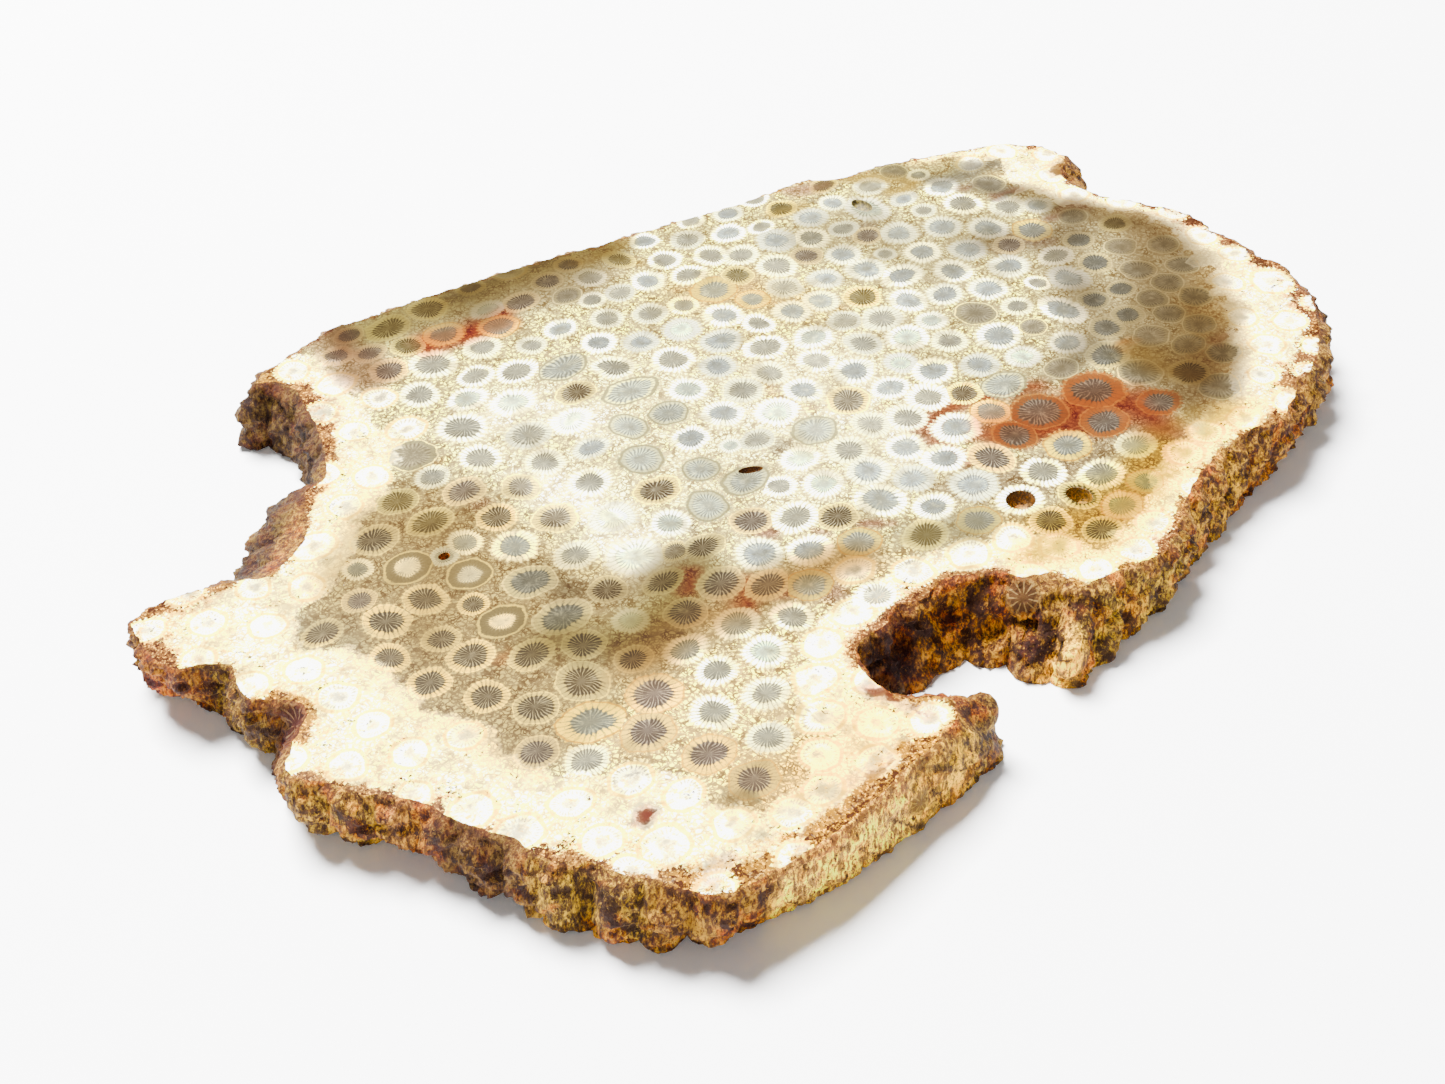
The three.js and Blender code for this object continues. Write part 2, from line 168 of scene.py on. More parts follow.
CAVES = (
    Lump((-24.2, -44.2, 6.8), (2.7, 2.3, 4.6), 20),
    Lump((-17.4, -41.9, 6.6), (2.3, 2.2, 2.6)),
    Lump((-9.8, -42.6, 6.9), (2.7, 2.3, 2.4), -10),
    Lump((-13.4, -43.9, 5.0), (0.9, 1.4, 4.2)),
    Lump((-6.6, -46.8, 4.2), (2.2, 1.9, 2.4), -30),
    Lump((-3.4, -50.6, 4.6), (1.8, 1.4, 1.7), -60),
    Lump((-71.2, -43.0, 5.4), (2.4, 0.9, 4.4), 20),
    Lump((-78.9, -0.6, 10.4), (2.6, 2.2, 3.4)),
)
KNOBS = (
    Lump((-20.9, -56.6, 7.0), (2.5, 2.2, 2.7)),
    Lump((-71.3, -39.9, 5.0), (2.1, 1.9, 4.7)),
    Lump((-67.6, -46.1, 5.0), (2.3, 2.4, 4.7)),
    Lump((-3.4, -57.0, 4.4), (2.4, 1.6, 3.6), -10),
    Lump((-2.2, -47.8, 7.2), (2.3, 2.0, 2.2)),
)
PITS = (
    Pit((9.8, -38.1), (2.0, 1.9), 3.0),
    Pit((15.6, -43.0), (1.5, 1.9), 2.8),
    Pit((-47.5, 7.6), (0.8, 0.7), 2.0),
    Pit((50.4, 25.1), (1.3, 2.1), 1.2, -10),
    Pit((-9.0, -8.4), (1.7, 0.7), 1.0, -32),
)


class Core(Enum):
    """The kinds of filling that a corallite can have."""

    BLUE = "plain milky blue"
    GREY = "grey with fine septa"
    FLOWER = "dark, with septa like petals"
    MAUVE = "purple grey with septa"
    OLIVE = "olive brown"
    WHITE = "white, sparkling"
    OUTLINED = "milky, inside a thin brown outline"
    AMBER = "orange ring"
    AMBER_MAUVE = "orange ring, purple core"
    ROSE = "cream ring with an orange line, pinkish core"
    SMOKE = "clouded brown, hardly any ring"
    SLATE = "slate grey in a cream ring"
    SPARKLING = "white crystals in a tan ring"
    GHOST = "bleached to a trace"


@dataclass(frozen=True)
class Look:
    """What a kind of corallite looks like: colours as seen, and the strength of each marking.

    inner is where the core ends and the ring begins, as a share of the ring's outer radius, and
    line, outline and band are the colour, strength and half width of the line round the ring.
    """

    core: Tone
    ring: Tone
    septa: float
    inner: float = 0.62
    line: Tone = (250, 244, 220)
    outline: float = 0.5
    band: float = 0.03


LOOKS = {
    Core.BLUE: Look((198, 204, 207), (255, 255, 250), 0.6, 0.60, (240, 234, 206), 0.35),
    Core.GREY: Look((190, 188, 178), (255, 254, 246), 0.8, 0.62, (252, 249, 232), 0.4),
    Core.FLOWER: Look((126, 108, 84), (250, 238, 202), 1.0, 0.67, (254, 248, 220), 0.6),
    Core.MAUVE: Look((142, 126, 116), (248, 234, 202), 0.9, 0.67, (252, 244, 216), 0.6),
    Core.OLIVE: Look((140, 120, 68), (246, 234, 190), 0.85, 0.67, (252, 246, 214), 0.6),
    Core.WHITE: Look((228, 234, 230), (255, 255, 252), 0.7, 0.60, (242, 238, 214), 0.35),
    Core.SPARKLING: Look((246, 241, 226), (184, 164, 122), 0.9, 0.5, (250, 238, 196), 0.75, 0.05),
    Core.OUTLINED: Look((200, 203, 198), (240, 237, 220), 0.6, 0.72, (182, 170, 136), 0.6, 0.06),
    Core.AMBER: Look((182, 184, 178), (250, 236, 188), 0.7, 0.62, (228, 184, 108), 0.6, 0.03),
    Core.ROSE: Look((158, 138, 130), (248, 232, 192), 0.9, 0.62, (236, 200, 138), 0.5, 0.03),
    Core.AMBER_MAUVE: Look((128, 112, 106), (204, 130, 80), 0.6, 0.64, (238, 196, 134), 0.45, 0.035),
    Core.SMOKE: Look((182, 172, 152), (214, 204, 176), 0.4, 0.74, (252, 246, 222), 0.8, 0.03),
    Core.SLATE: Look((142, 141, 136), (236, 226, 194), 0.5, 0.66, (250, 244, 222), 0.6),
    Core.GHOST: Look((255, 254, 249), (255, 253, 243), 0.3, 0.64, (244, 224, 172), 0.6, 0.1),
}

# Corallites by kind: centre x and y, half width, half height and, where it isn't level, the turn in degrees.
CORALLITES = {
    Core.BLUE: (
        (-20.5, -21, 2.7, 2.9), (-2.2, -25, 2.8, 3.4), (1.2, -19.8, 2.8, 2.6), (-15.7, -25.2, 2.8, 2.4),
        (8.3, -20, 2.6, 2.5), (3.9, -25.2, 2.7, 2.5), (9.9, -25.4, 2.8, 2.6), (16.1, -22.2, 3.2, 2.9),
        (8.2, -31.9, 3, 2.9), (41.9, -21, 2.6, 2.4), (-40.2, 2.6, 2.7, 2.8), (-20, 10.5, 2.5, 1.9),
        (-2.5, 3, 2.7, 2.6), (14.3, 19.5, 2.6, 2.7), (9.5, 15.2, 2.8, 2.6), (21.7, 13, 2.4, 2.5),
        (26.5, 11.7, 2.3, 2.6), (31.3, 15.2, 2.3, 2.5), (37.9, 17.8, 2.5, 2.4), (37.2, 12.5, 2.7, 2.8),
        (4.7, 11.2, 2.4, 2.4), (39.5, 7.5, 3.1, 2.6), (35, 2.5, 2.5, 2.7), (39.8, -0.3, 2.5, 2.5),
        (16.8, -3.5, 2.9, 2.6), (24, -11.5, 3, 2.6), (36.8, -12.8, 3.1, 2.7), (48.1, 15.6, 2.7, 2.6),
        (53.8, 11.8, 2.7, 2.7), (46.4, 9.5, 2.7, 2.5), (51.5, 4.8, 2.6, 2.5), (58.2, 6.5, 2.6, 2.7),
        (45.4, 2.6, 2.5, 2.8), (52, -2.5, 2.8, 2.8), (45.2, -4, 2.6, 2.6), (55.2, -11, 2.6, 3.1),
        (48, -15.5, 2.4, 3.6), (-2.5, 27.8, 2.4, 2.3), (-3.8, 34.5, 2.4, 2), (20.6, 42.7, 2.1, 2),
        (34.8, 38.8, 2.2, 2), (30.8, 34.8, 2.5, 2.2), (34.2, 28, 2.9, 2.8), (47.9, 29, 2.1, 2),
        (56.2, 21.6, 2.3, 1.7), (62.9, 19.6, 2.6, 2.3), (-9.5, 2.2, 2.5, 2.2), (13.3, 34.2, 2.4, 2.4),
        (1.6, 23.6, 2.4, 2.3), (42.5, 28.5, 2.6, 2.3), (29.5, -15.5, 2.6, 2.4), (17, -9.8, 2.6, 2.2),
        (68.4, 5, 2.2, 2.1), (1.4, -30.8, 2.5, 2.3), (8.7, -1.5, 2.4, 2.7),
    ),
    Core.GREY: (
        (-39, -26.7, 2.6, 2), (-31.6, -28, 2.5, 2.4, 20), (-39, -32, 2.4, 2.2), (-37.8, -38.7, 2.6, 2.3),
        (-26.2, -32, 2.1, 2.4), (-44.1, -36.5, 2.4, 2.6), (-42.8, -43.9, 2.3, 2.2),
        (-12.2, -19.4, 2.9, 2.6), (-16.3, -36.7, 2.4, 2.2), (16.3, -36.7, 2.6, 2.7), (21, -42.5, 3, 2.6),
        (-26.2, 12.8, 2.4, 2.5), (-25, 5.2, 2.7, 2.5), (-31.4, 19.6, 2.3, 2.8), (-23.7, 18.9, 2.9, 2.8),
        (1.7, 17, 2.7, 2.7), (16.2, 14.5, 2, 2.4), (25.6, 18.2, 2.4, 2.5), (12.5, 9.5, 3, 2.4, -22),
        (3, 4.8, 2.7, 2.7), (8.5, 4.8, 2.3, 2.6), (25, 5.8, 2.3, 2.1), (15, 2, 2.4, 2.4), (29, 2.2, 3, 2.7),
        (22.5, 0, 2.3, 2.8), (31.2, -8.5, 2.4, 2.4), (9, -13.5, 2.4, 2.5), (2.8, -15, 2.5, 2.5),
        (13.3, -16, 2.4, 2.7), (18.9, -15, 2.8, 2.8), (42.3, 13.2, 1.5, 1.5), (55.6, 17, 1.9, 1.7),
        (61.2, 13.8, 2.6, 2.8), (65.2, 8.2, 2.7, 2.6), (58.8, -6, 2.6, 2.1), (44.5, -10, 2.2, 2),
        (51.2, -8.5, 1.7, 1.7), (-21.8, 41.2, 3.1, 3), (-14.5, 39.2, 2.5, 2.5), (-27.8, 36.9, 2.4, 2.7),
        (-19.6, 34.6, 2.5, 2.1), (-28.6, 26.7, 3, 3), (-15, 31.2, 2.8, 2.4), (-5.2, 21.8, 2.3, 2.7, 30),
        (-38.2, 21.2, 2.3, 2), (29.4, 41.5, 2, 1.7), (40.5, 38.6, 2.2, 1.6), (25.2, 38, 2.4, 2.3),
        (19, 36.5, 2.3, 2.2), (8.4, 35, 2.2, 2), (2.5, 31.5, 2.2, 2.1), (18.5, 31, 2.6, 2.2),
        (24.5, 32.2, 2.3, 2.5), (7.5, 27.7, 2.5, 2.3), (12.3, 25.7, 2, 2), (27.6, 29, 2.8, 2.3),
        (29, 23, 2.7, 2.8), (38.2, 24.3, 2.4, 2.5), (55.5, 28, 2.5, 2.2), (63.2, 24.6, 1.8, 1.6),
        (8.2, 41.3, 2.1, 2.3), (35.4, 32.3, 2.1, 1.7), (43.4, 22.6, 2.2, 1.9), (-9.4, 34.4, 2, 1.9),
        (-44, 7.8, 2, 2.1), (-56.5, 13.6, 1.7, 1.7), (-59.2, -31.5, 2.3, 2.1), (29, -42, 2.7, 2.3),
        (9.8, -38.1, 2.9, 2.6), (-47.5, 7.6, 1.7, 1.6), (-9, -13.5, 2.1, 1.9), (-36.2, -4.4, 2.5, 2.4),
        (-3.8, -4.5, 2.5, 2), (4.3, 36.6, 1.9, 1.7),
    ),
    Core.FLOWER: (
        (-57.5, -21.1, 2.5, 2.4), (-51, -21.8, 2.8, 3.1, -15), (-44.3, -23.4, 2.2, 1.9),
        (-8.4, -23.2, 2.6, 2.3), (-51.5, 16.6, 3, 2.5), (-54.3, 3, 2.4, 2.7), (-60.1, 3.3, 2.6, 2.8),
        (-57.5, -4, 2.2, 2), (-63.3, -8.8, 2.4, 2.2), (-57, -8.8, 2.6, 2.4), (-52, -14, 2.7, 2.2),
        (-60.2, -15.5, 2.3, 2.4), (-38, -12, 2.2, 2.2), (-46.6, -17.2, 2.4, 2.3), (-38, 8.6, 2.4, 2.4),
        (-31.8, 11, 2.2, 2.5), (-33, 3, 2.7, 2.6), (-24.2, -15, 2.7, 2), (-32.3, -16, 2.6, 1.9),
        (-50.9, -2, 1.7, 1.7), (-63.8, -2, 2, 2.4), (11, -7.5, 2.8, 2.8), (22.7, -18, 2.4, 2.2),
        (9, -43.5, 2.5, 2.3), (-12.8, 21.4, 2.7, 2.2), (12, -49.2, 2.5, 2.1), (-66.6, 7.4, 2.4, 1.9),
        (-20.2, -2.4, 3, 2.4), (-27.2, -13, 1.8, 1.6),
    ),
    Core.MAUVE: (
        (-62.2, -26.5, 2.4, 2.3), (-27.6, -21.4, 2.9, 2.5, 20), (-34.3, -22, 2.5, 2.3),
        (-60, 8.8, 2.1, 1.9), (-37.4, 15.8, 2.7, 2.4), (-25.3, 55.8, 2.2, 1.7), (-29.8, 53, 2.2, 2),
        (-26.2, 50, 2.2, 1.9), (-27, 44.6, 2.5, 2.4), (-3, 44, 2.6, 2.1), (14.2, -29.8, 2.5, 3),
        (-24, -25.8, 2.9, 2.2), (56.5, 1, 2.3, 2.1), (44.4, 18.6, 2.2, 2), (34, 21.6, 2.2, 2.2),
        (-16.5, -15.8, 2.4, 2.3), (3.3, 45.2, 2.3, 2), (8.4, 46.4, 2, 1.8),
    ),
    Core.OLIVE: (
        (-20.5, 53, 3.2, 2.5, 8), (-13.5, 52.6, 2.6, 2.6), (-5.5, 52.6, 2, 1.9), (-21.4, 47.4, 2.2, 2.3),
        (-44.3, 14.2, 3, 2.3), (-44.6, 20.6, 2.6, 2.2), (31.3, 8, 2.5, 2.5), (-3.7, -33.8, 2.9, 2.5),
        (14.4, 41.7, 1.8, 2.6), (23.3, 25.4, 2.1, 2.3), (50.8, 33.6, 2.2, 1.7), (41.4, 33.8, 2.3, 2),
        (72, -7, 2.3, 2.1), (47.3, -37.6, 2.8, 2.6), (15.6, -43, 2.2, 2.7),
    ),
    Core.WHITE: (
        (-31.4, -9.9, 3.3, 3.1), (-23.8, -8.6, 2.4, 2.4), (-32.8, -33.9, 2.5, 2.4), (-24, 31.2, 2.7, 2.2),
        (-17.6, 17, 2.9, 2.4), (-2, 10.4, 2.4, 2.4), (-20.2, 26, 2.9, 2.5), (-28, -2.2, 2.9, 2.6),
        (-4.7, -17.4, 2.6, 2.4), (-2.8, -11.5, 2.4, 2.2), (2.6, -2.2, 2.8, 2.6), (27.8, -3.6, 2.9, 2.7),
        (33.4, -3.4, 2.1, 2), (22.5, -7, 2.2, 2.3), (19, 6.2, 2.8, 2.4), (7.8, 21.5, 2.6, 2.5),
        (-39.9, -18.3, 2, 1.9), (35, -18.4, 2.4, 2.2), (-7, -2.8, 1.5, 1.4), (50.2, 23.9, 2.7, 3.7),
        (-7.6, 46.2, 2.5, 1.9),
    ),
    Core.SPARKLING: (
        (-47.6, 2.6, 2.7, 2.6), (-52, 9.3, 3, 2.7), (-50.5, -7, 3, 2.5),
    ),
    Core.OUTLINED: (
        (-10, 27, 3.6, 2.4), (-17.1, 3.8, 2.7, 2.8), (-18, -9.5, 2.4, 2.9, -28), (-11.1, -9.5, 3.2, 2.4),
        (-13.3, 10.2, 2.2, 2.8), (-7.4, 16, 3.8, 2.5, -12), (-7.5, 8.5, 2.6, 2.3), (-13.3, -3.5, 2.3, 2.3),
        (3, -8.8, 2.9, 2.7), (28, -20.8, 3.2, 2.5),
    ),
    Core.AMBER: (
        (-16, 46, 2.9, 2.5), (-9.4, 41.5, 2.7, 2.6), (18, 25.3, 3.1, 3), (20.2, 19.4, 2.2, 2.2),
        (22, -23.4, 2.4, 2.4), (23, -35.5, 3, 2.8), (-10.4, -28.6, 2.7, 2.3), (-20.5, -29.4, 2.8, 2.4),
        (17.6, -48.2, 2.8, 2.3), (-54.8, -27.5, 3.7, 2.8, -18), (62.2, 1.2, 2.7, 2.7),
        (23.6, -47.4, 2.3, 2), (3, -36.8, 2.7, 2.3),
    ),
    Core.AMBER_MAUVE: (
        (20, -29, 2.6, 2.9), (26.5, -28.2, 3.6, 3.5), (35.2, -30.6, 3.9, 3.7), (30.5, -35.9, 3.2, 2.9),
        (38.8, -38.6, 2.9, 2.6),
    ),
    Core.ROSE: (
        (-46.7, -29.4, 3.1, 2.8), (-51.5, -33.3, 3.1, 2.6), (-49.2, -40.8, 3, 2.5),
        (-48.5, -47.2, 2.9, 2.4),
    ),
    Core.SLATE: (
        (43.2, -26.9, 3, 2.6), (48.4, -22.8, 2.5, 2.3), (61.2, -11.3, 2.3, 2.3), (64.6, -5.8, 2.3, 2.1),
        (53.2, -23, 2.3, 2.1), (53, -17.2, 2.1, 2), (58, -18.4, 2.1, 1.9), (-43.4, -4, 3.2, 2.6, -20),
        (-45, -11.7, 3.6, 2.6, -15),
    ),
    Core.SMOKE: (
        (42.8, -32.6, 2.9, 2.7), (36.4, -24.2, 2.4, 2), (39, -6.8, 2.6, 2.6), (41.8, -15, 1.9, 1.7),
        (63.8, -17.2, 2.5, 2.3), (67.3, -11.5, 2.3, 2.1), (69.4, -1, 2.2, 1.9), (58.9, -23.2, 2.2, 2.1),
        (63.9, -22.4, 2.3, 2.2), (69.2, -21.2, 2.2, 2.1), (51, -28.6, 2.5, 2.3), (57.4, -27.2, 2.2, 2),
        (63.4, -27.3, 2.3, 2.2), (58, -31.8, 2.3, 2.1), (52.8, -33.6, 2.5, 2), (54.4, -38.4, 2.4, 2.1),
        (47.4, -42.6, 2.9, 2.4), (72, -15.8, 2.4, 2), (68.5, 14.6, 2.3, 2.4), (61.5, 28.2, 2, 1.8),
        (2.6, 40.2, 2.2, 1.8), (-37, 26.8, 3, 2.8),
    ),
    Core.GHOST: (
        (-55.4, -43.2, 2.5, 2.2), (-40.8, -50, 2.5, 2.3), (-62, -47, 2.9, 2.7), (-67, -47, 2.3, 2.5),
        (-71.4, -34.1, 2.8, 2.5), (-66.2, -41.5, 2.5, 2.2), (-72.8, -28, 2.7, 2.5),
        (-44.5, -53.8, 2.5, 2.1), (-49.2, -53.6, 2.5, 2.1), (-14.8, -31.7, 2.7, 2.3),
        (-27.2, -37.8, 2.7, 2.4), (-20.6, -36.8, 2.7, 2.4), (-10, -37.2, 2.5, 2.4),
        (-57.8, -37.3, 2.6, 2.3), (-32.3, -41.3, 2.8, 2.4), (-2.8, -40, 2.8, 2.4), (-36.3, -46, 3, 2.6),
        (-32.8, -51.3, 2.6, 2.4), (-28.2, -55.2, 2.7, 2.1), (-37.2, -55, 2.6, 2.2), (3.2, -42.2, 2.7, 2.4),
        (5.8, -47.2, 2.5, 2.3), (5.5, -53.2, 2.4, 2.1), (17.4, -53, 2.5, 2.1), (74.2, -33.3, 3.1, 3),
        (-57.4, 21.2, 3, 2.6), (-34, 32, 2.7, 2.5), (-32, 40.4, 2.3, 2.5), (11.8, -54.6, 2.4, 2),
        (32, -47.6, 2.7, 2.3), (37.6, -47, 2.5, 2.3), (43.5, -49, 2.5, 2.2), (-34, 47.6, 2.8, 2.6),
    ),
}


# ---- Stains ----


@dataclass(frozen=True)
class Wash:
    """A stain with soft edges, along a line of points or filling an outline.

    colour is sRGB, reach is how far it goes beyond its points at full strength, soft is the
    width over which it fades, and filled says that the points are an outline.
    """

    colour: Tone
    points: Line
    reach: float
    soft: float
    strength: float = 1.0
    filled: bool = False

    def amount(self, spots: np.ndarray) -> np.ndarray:
        """How strongly the stain lies on each spot, from 0 to 1."""
        return soft_stain(spots, self.points, self.reach, self.soft, self.strength, self.filled)

    def lay(self, colours: np.ndarray, spots: np.ndarray) -> None:
        """Mixes the stain's colour into rows of colours, one for each spot."""
        colours[:, :3] += (np.array(seen(*self.colour)) - colours[:, :3]) * self.amount(spots)[:, None]


GROUND = (224, 217, 184)
TAN = (196, 174, 124)
MILK = (238, 235, 218)
CORNSILK = (240, 212, 152)
STRAW = (240, 226, 180)
PEACH = (252, 236, 200)
DARK_OLIVE = (112, 92, 54)
GREY_HAZE = (178, 168, 146)
MAUVE_HAZE = (150, 124, 116)
RUST = (186, 80, 30)
BRICK = (152, 58, 30)
HONEY = (212, 166, 84)
GOLD = (190, 152, 66)
AMBER_GLOW = (214, 140, 58)
PINK_BROWN = (190, 140, 120)
MAROON = (134, 84, 68)
SMOKE_GREY = (124, 115, 102)
# Milky white of the agate, and partly a painted glare of the soft light on the polish.
MILK_WHITE_AND_GLARE = (252, 252, 248)
SMOKE_TINT = (190, 173, 152)
GOLDEN_TINT = (252, 224, 128)
HONEY_TINT = (222, 192, 148)
WARM_TINT = (252, 238, 206)
OLIVE_TINT = (196, 184, 144)
DUN_TINT = (228, 214, 182)
GREY_TINT = (208, 198, 186)
ROSE_TINT = (206, 176, 158)
RUST_TINT = (244, 178, 138)

# Stains in the tissue between the corallites.
GROUND_STAINS = (
    Wash(CORNSILK, ((-88, -30), (-70, -62), (-16, -64), (-16, -38), (6, -38), (8, -64), (60, -56), (84, -30),
        (88, 10), (70, 32), (60, 34), (72, 20), (72, -20), (40, -44), (20, -48), (-8, -36), (-52, -50),
        (-62, -34)), 0, 8, 0.8, True),
    Wash(TAN, ((-66, -25), (-67, 8), (-56, 18), (-45, 24), (-38, 20), (-38, 0), (-40, -12), (-46, -20),
        (-56, -28)), 0, 9, 0.9, True),
    Wash(MILK, ((-36, -14), (-34, 30), (-5, 32), (14, 12), (26, -2), (12, -26), (-10, -24)), 0, 12, 1, True),
    Wash((176, 152, 122), ((6, -30), (18, -36), (30, -40), (14, -38)), 2, 5, 0.7, True),
    Wash(STRAW, ((4, 16), (20, 32), (32, 14), (14, -4)), 0, 9, 0.3, True),
    Wash(PEACH, ((-60, -30), (-48, -28), (-36, -30), (-22, -34), (-8, -34), (-30, -44),
        (-50, -50)), 0, 7, 0.75, True),
    Wash(RUST, ((-20, 45), (-14, 43.2), (-9, 43.8)), 2.2, 3.4),
    Wash(AMBER_GLOW, ((-11, 39.5), (-7.5, 39.4)), 0.5, 2, 0.7),
    Wash(GOLD, ((16.2, 38.2), (16.6, 39.4)), 0.6, 1.8, 0.8),
    Wash(HONEY, ((16, 23), (22, 22.6), (25, 24)), 1.2, 4, 0.7),
    Wash(HONEY, ((17, 28.6), (14, 29.5)), 0.6, 2.5, 0.5),
    Wash(HONEY, ((21, 17.2), (27.4, 8.4)), 0.7, 3, 0.6),
    Wash(HONEY, ((6, 2.4), (4.6, 1.6), (6.4, -5)), 0.8, 3, 0.5),
    Wash(HONEY, ((12, -12.4), (14.4, -12)), 0.6, 3, 0.5),
    Wash(MAROON, ((55, 1.5), (59.5, 1.2), (61, -3)), 0.9, 3, 0.55),
    Wash(MAUVE_HAZE, ((43, 21), (47, 20)), 1, 3, 0.5),
    Wash(RUST, ((16, -23), (20, -27), (27, -31), (34, -29), (38, -33), (36, -39), (28, -37),
        (20, -31)), 0.5, 4, 1, True),
    Wash(RUST, ((13, -19.5), (18, -18.6), (25, -21.5), (31, -24.6)), 1.4, 3, 0.95),
    Wash(RUST, ((11.4, -21.4), (11.5, -27.5)), 0.8, 2.6, 0.8),
    Wash(BRICK, ((27, -33), (33, -34.5), (37.5, -37), (34, -42)), 2, 3.5, 0.7),
    Wash(GOLD, ((6, -42), (12.5, -44.5), (11, -47.5), (20, -46), (30, -44)), 2.2, 4.2, 0.8),
    Wash((140, 124, 98), ((-41, -3), (-41.5, -9)), 1.6, 4, 0.5),
    Wash(DARK_OLIVE, ((-46, -20), (-41, -21.5), (-37, -24.5)), 1, 5, 0.6),
    Wash(GOLD, ((-44, -21), (-38, -21.5), (-31, -20)), 1.4, 4.5, 0.7),
    Wash(RUST, ((-31, -19), (-28.8, -17)), 1.2, 2.8, 0.95),
    Wash(RUST, ((-29.4, -26), (-27, -24.6), (-23, -28.6)), 1.3, 3),
    Wash(PINK_BROWN, ((-23, -29), (-20, -33)), 1.4, 3.5, 0.7),
    Wash(BRICK, ((-18, -17.4), (-16.5, -19.5)), 0.3, 1.6, 0.8),
    Wash(BRICK, ((-7.5, -26.5), (-4.6, -29.4)), 0.4, 1.6, 0.7),
    Wash(PINK_BROWN, ((-12, -23.4), (-12, -24)), 0.8, 1.8, 0.6),
    Wash((150, 132, 100), ((-3.5, -8.4), (-2.5, -8)), 0.8, 1.8, 0.7),
    Wash((150, 132, 100), ((-23, -12), (-21.5, -7)), 0.5, 2.2, 0.55),
    Wash(AMBER_GLOW, ((-55, -11.6), (-53, -12), (-54.6, -12.8)), 0.5, 1.8, 0.9),
    Wash(HONEY, ((-52, -3.4), (-48, -6)), 0.6, 2.6, 0.5),
    Wash(PINK_BROWN, ((-39, 13), (-38, 12.5)), 0.8, 2.4, 0.6),
    Wash(HONEY, ((-38.5, 23.6), (-35.6, 23.6)), 0.6, 1.6, 0.7),
)
# Stains over the corallites, with white veils that are partly painted glare, but hidden where the margin is
# bleached.
VEILS = (
    Wash(DARK_OLIVE, ((-8, 52.5), (2, 50.5), (8, 49)), 1.2, 4, 0.6),
    Wash(GOLD, ((10, 45), (19, 44.6)), 0.8, 3, 0.5),
    Wash(PINK_BROWN, ((46, 36.2), (52, 33.6)), 1, 3, 0.55),
    Wash(GOLD, ((38, 33.4), (45, 32.6)), 0.6, 2.8, 0.5),
    Wash(GOLD, ((56.5, 24.2), (62, 24), (55, 32.4)), 0.9, 2.4, 0.6),
    Wash(MAROON, ((64, 17.4), (67, 16.6)), 0.5, 2, 0.6),
    Wash(MAROON, ((66, 11), (70.4, 10.4)), 0.7, 1.8, 0.8),
    Wash(MAROON, ((66.5, 1.5), (71.6, 1.8), (72.6, -1.5)), 0.7, 2.4, 0.7),
    Wash(SMOKE_GREY, ((64, 22), (69, 19), (74, 17.8)), 1.2, 3.4, 0.75),
    Wash(SMOKE_GREY, ((67.5, 15.5), (68, 12.5)), 1.4, 3, 0.7),
    Wash(SMOKE_GREY, ((38, -24.5), (44, -23.5)), 1.2, 4, 0.5),
    Wash(SMOKE_GREY, ((39, -7), (40, -6)), 1.2, 4, 0.35),
    Wash(BRICK, ((33, -43), (36, -39), (40, -36)), 0.8, 3, 0.4),
    Wash(AMBER_GLOW, ((46.5, -27.4), (48.4, -27.6)), 1, 2.4, 0.7),
    Wash(GOLD, ((47, -30), (46, -36), (48, -39)), 1.4, 3.5, 0.5),
    Wash(GOLD, ((33, -42.5), (41, -43.6)), 1.2, 2.6, 0.5),
    Wash(HONEY, ((16, -49), (20, -48)), 1.8, 3, 0.4),
    Wash(GREY_HAZE, ((-67, 10), (-64, 6), (-66, 3)), 1.2, 3, 0.45),
    Wash((150, 138, 108), ((-4, -34), (3, -37)), 2.4, 4, 0.45),
    Wash(PINK_BROWN, ((55.4, -36.8), (58.8, -36.2)), 0.5, 2.2, 0.7),
    # White veils: the agate's milky white, and partly a painted reflection of the soft light on the polish.
    Wash(MILK_WHITE_AND_GLARE, ((-31, -11), (-29, -2), (-30, 10)), 3.4, 6, 0.6),
    Wash(MILK_WHITE_AND_GLARE, ((-23, 27), (-19, 20), (-16, 14)), 3, 8, 0.55),
    Wash(MILK_WHITE_AND_GLARE, ((-6, -12), (4, -8), (14, -10), (6, -22)), 2, 14, 0.5),
    Wash(MILK_WHITE_AND_GLARE, ((10, 6), (30, 2), (44, 2)), 2, 12, 0.22),
    Wash(MILK_WHITE_AND_GLARE, ((0, 0), (10, -4), (16, 2)), 3, 9, 0.34),
    Wash(MILK_WHITE_AND_GLARE, ((12, 22), (22, 24), (30, 14)), 3, 9, 0.22),
)
# Stains over the corallites and through the bleached margin.
MARGIN_STAINS = (
    Wash((140, 108, 60), ((-53, -47), (-51.6, -48)), 0.8, 2, 0.85),
    Wash(GREY_HAZE, ((-56, -54), (-52, -54.3)), 0.4, 2, 0.6),
    Wash(BRICK, ((-61.6, -42.6), (-60.6, -41.4)), 0.8, 1.2),
    Wash(BRICK, ((-29.6, -47.8), (-28.8, -49.4)), 0.9, 1.2),
    Wash(PINK_BROWN, ((-29, -51), (-28, -54.5)), 0.6, 2, 0.7),
    Wash(PINK_BROWN, ((-46, -55.4), (-41, -54.6), (-38, -56.8)), 0.4, 2, 0.6),
    Wash((206, 142, 66), ((-34, -56.6), (-44, -57.4), (-52, -57.2)), 0.7, 2.2, 0.8),
    Wash((172, 118, 54), ((79.6, 9), (82.4, 8), (82, 4)), 2.4, 2.6, 0.95),
    Wash(MAROON, ((-66, -50), (-63, -53.4), (-59, -54)), 0.6, 2.6, 0.75),
    Wash(MAROON, ((-27.4, -50), (-27, -52.6)), 0.5, 1.6, 0.7),
)
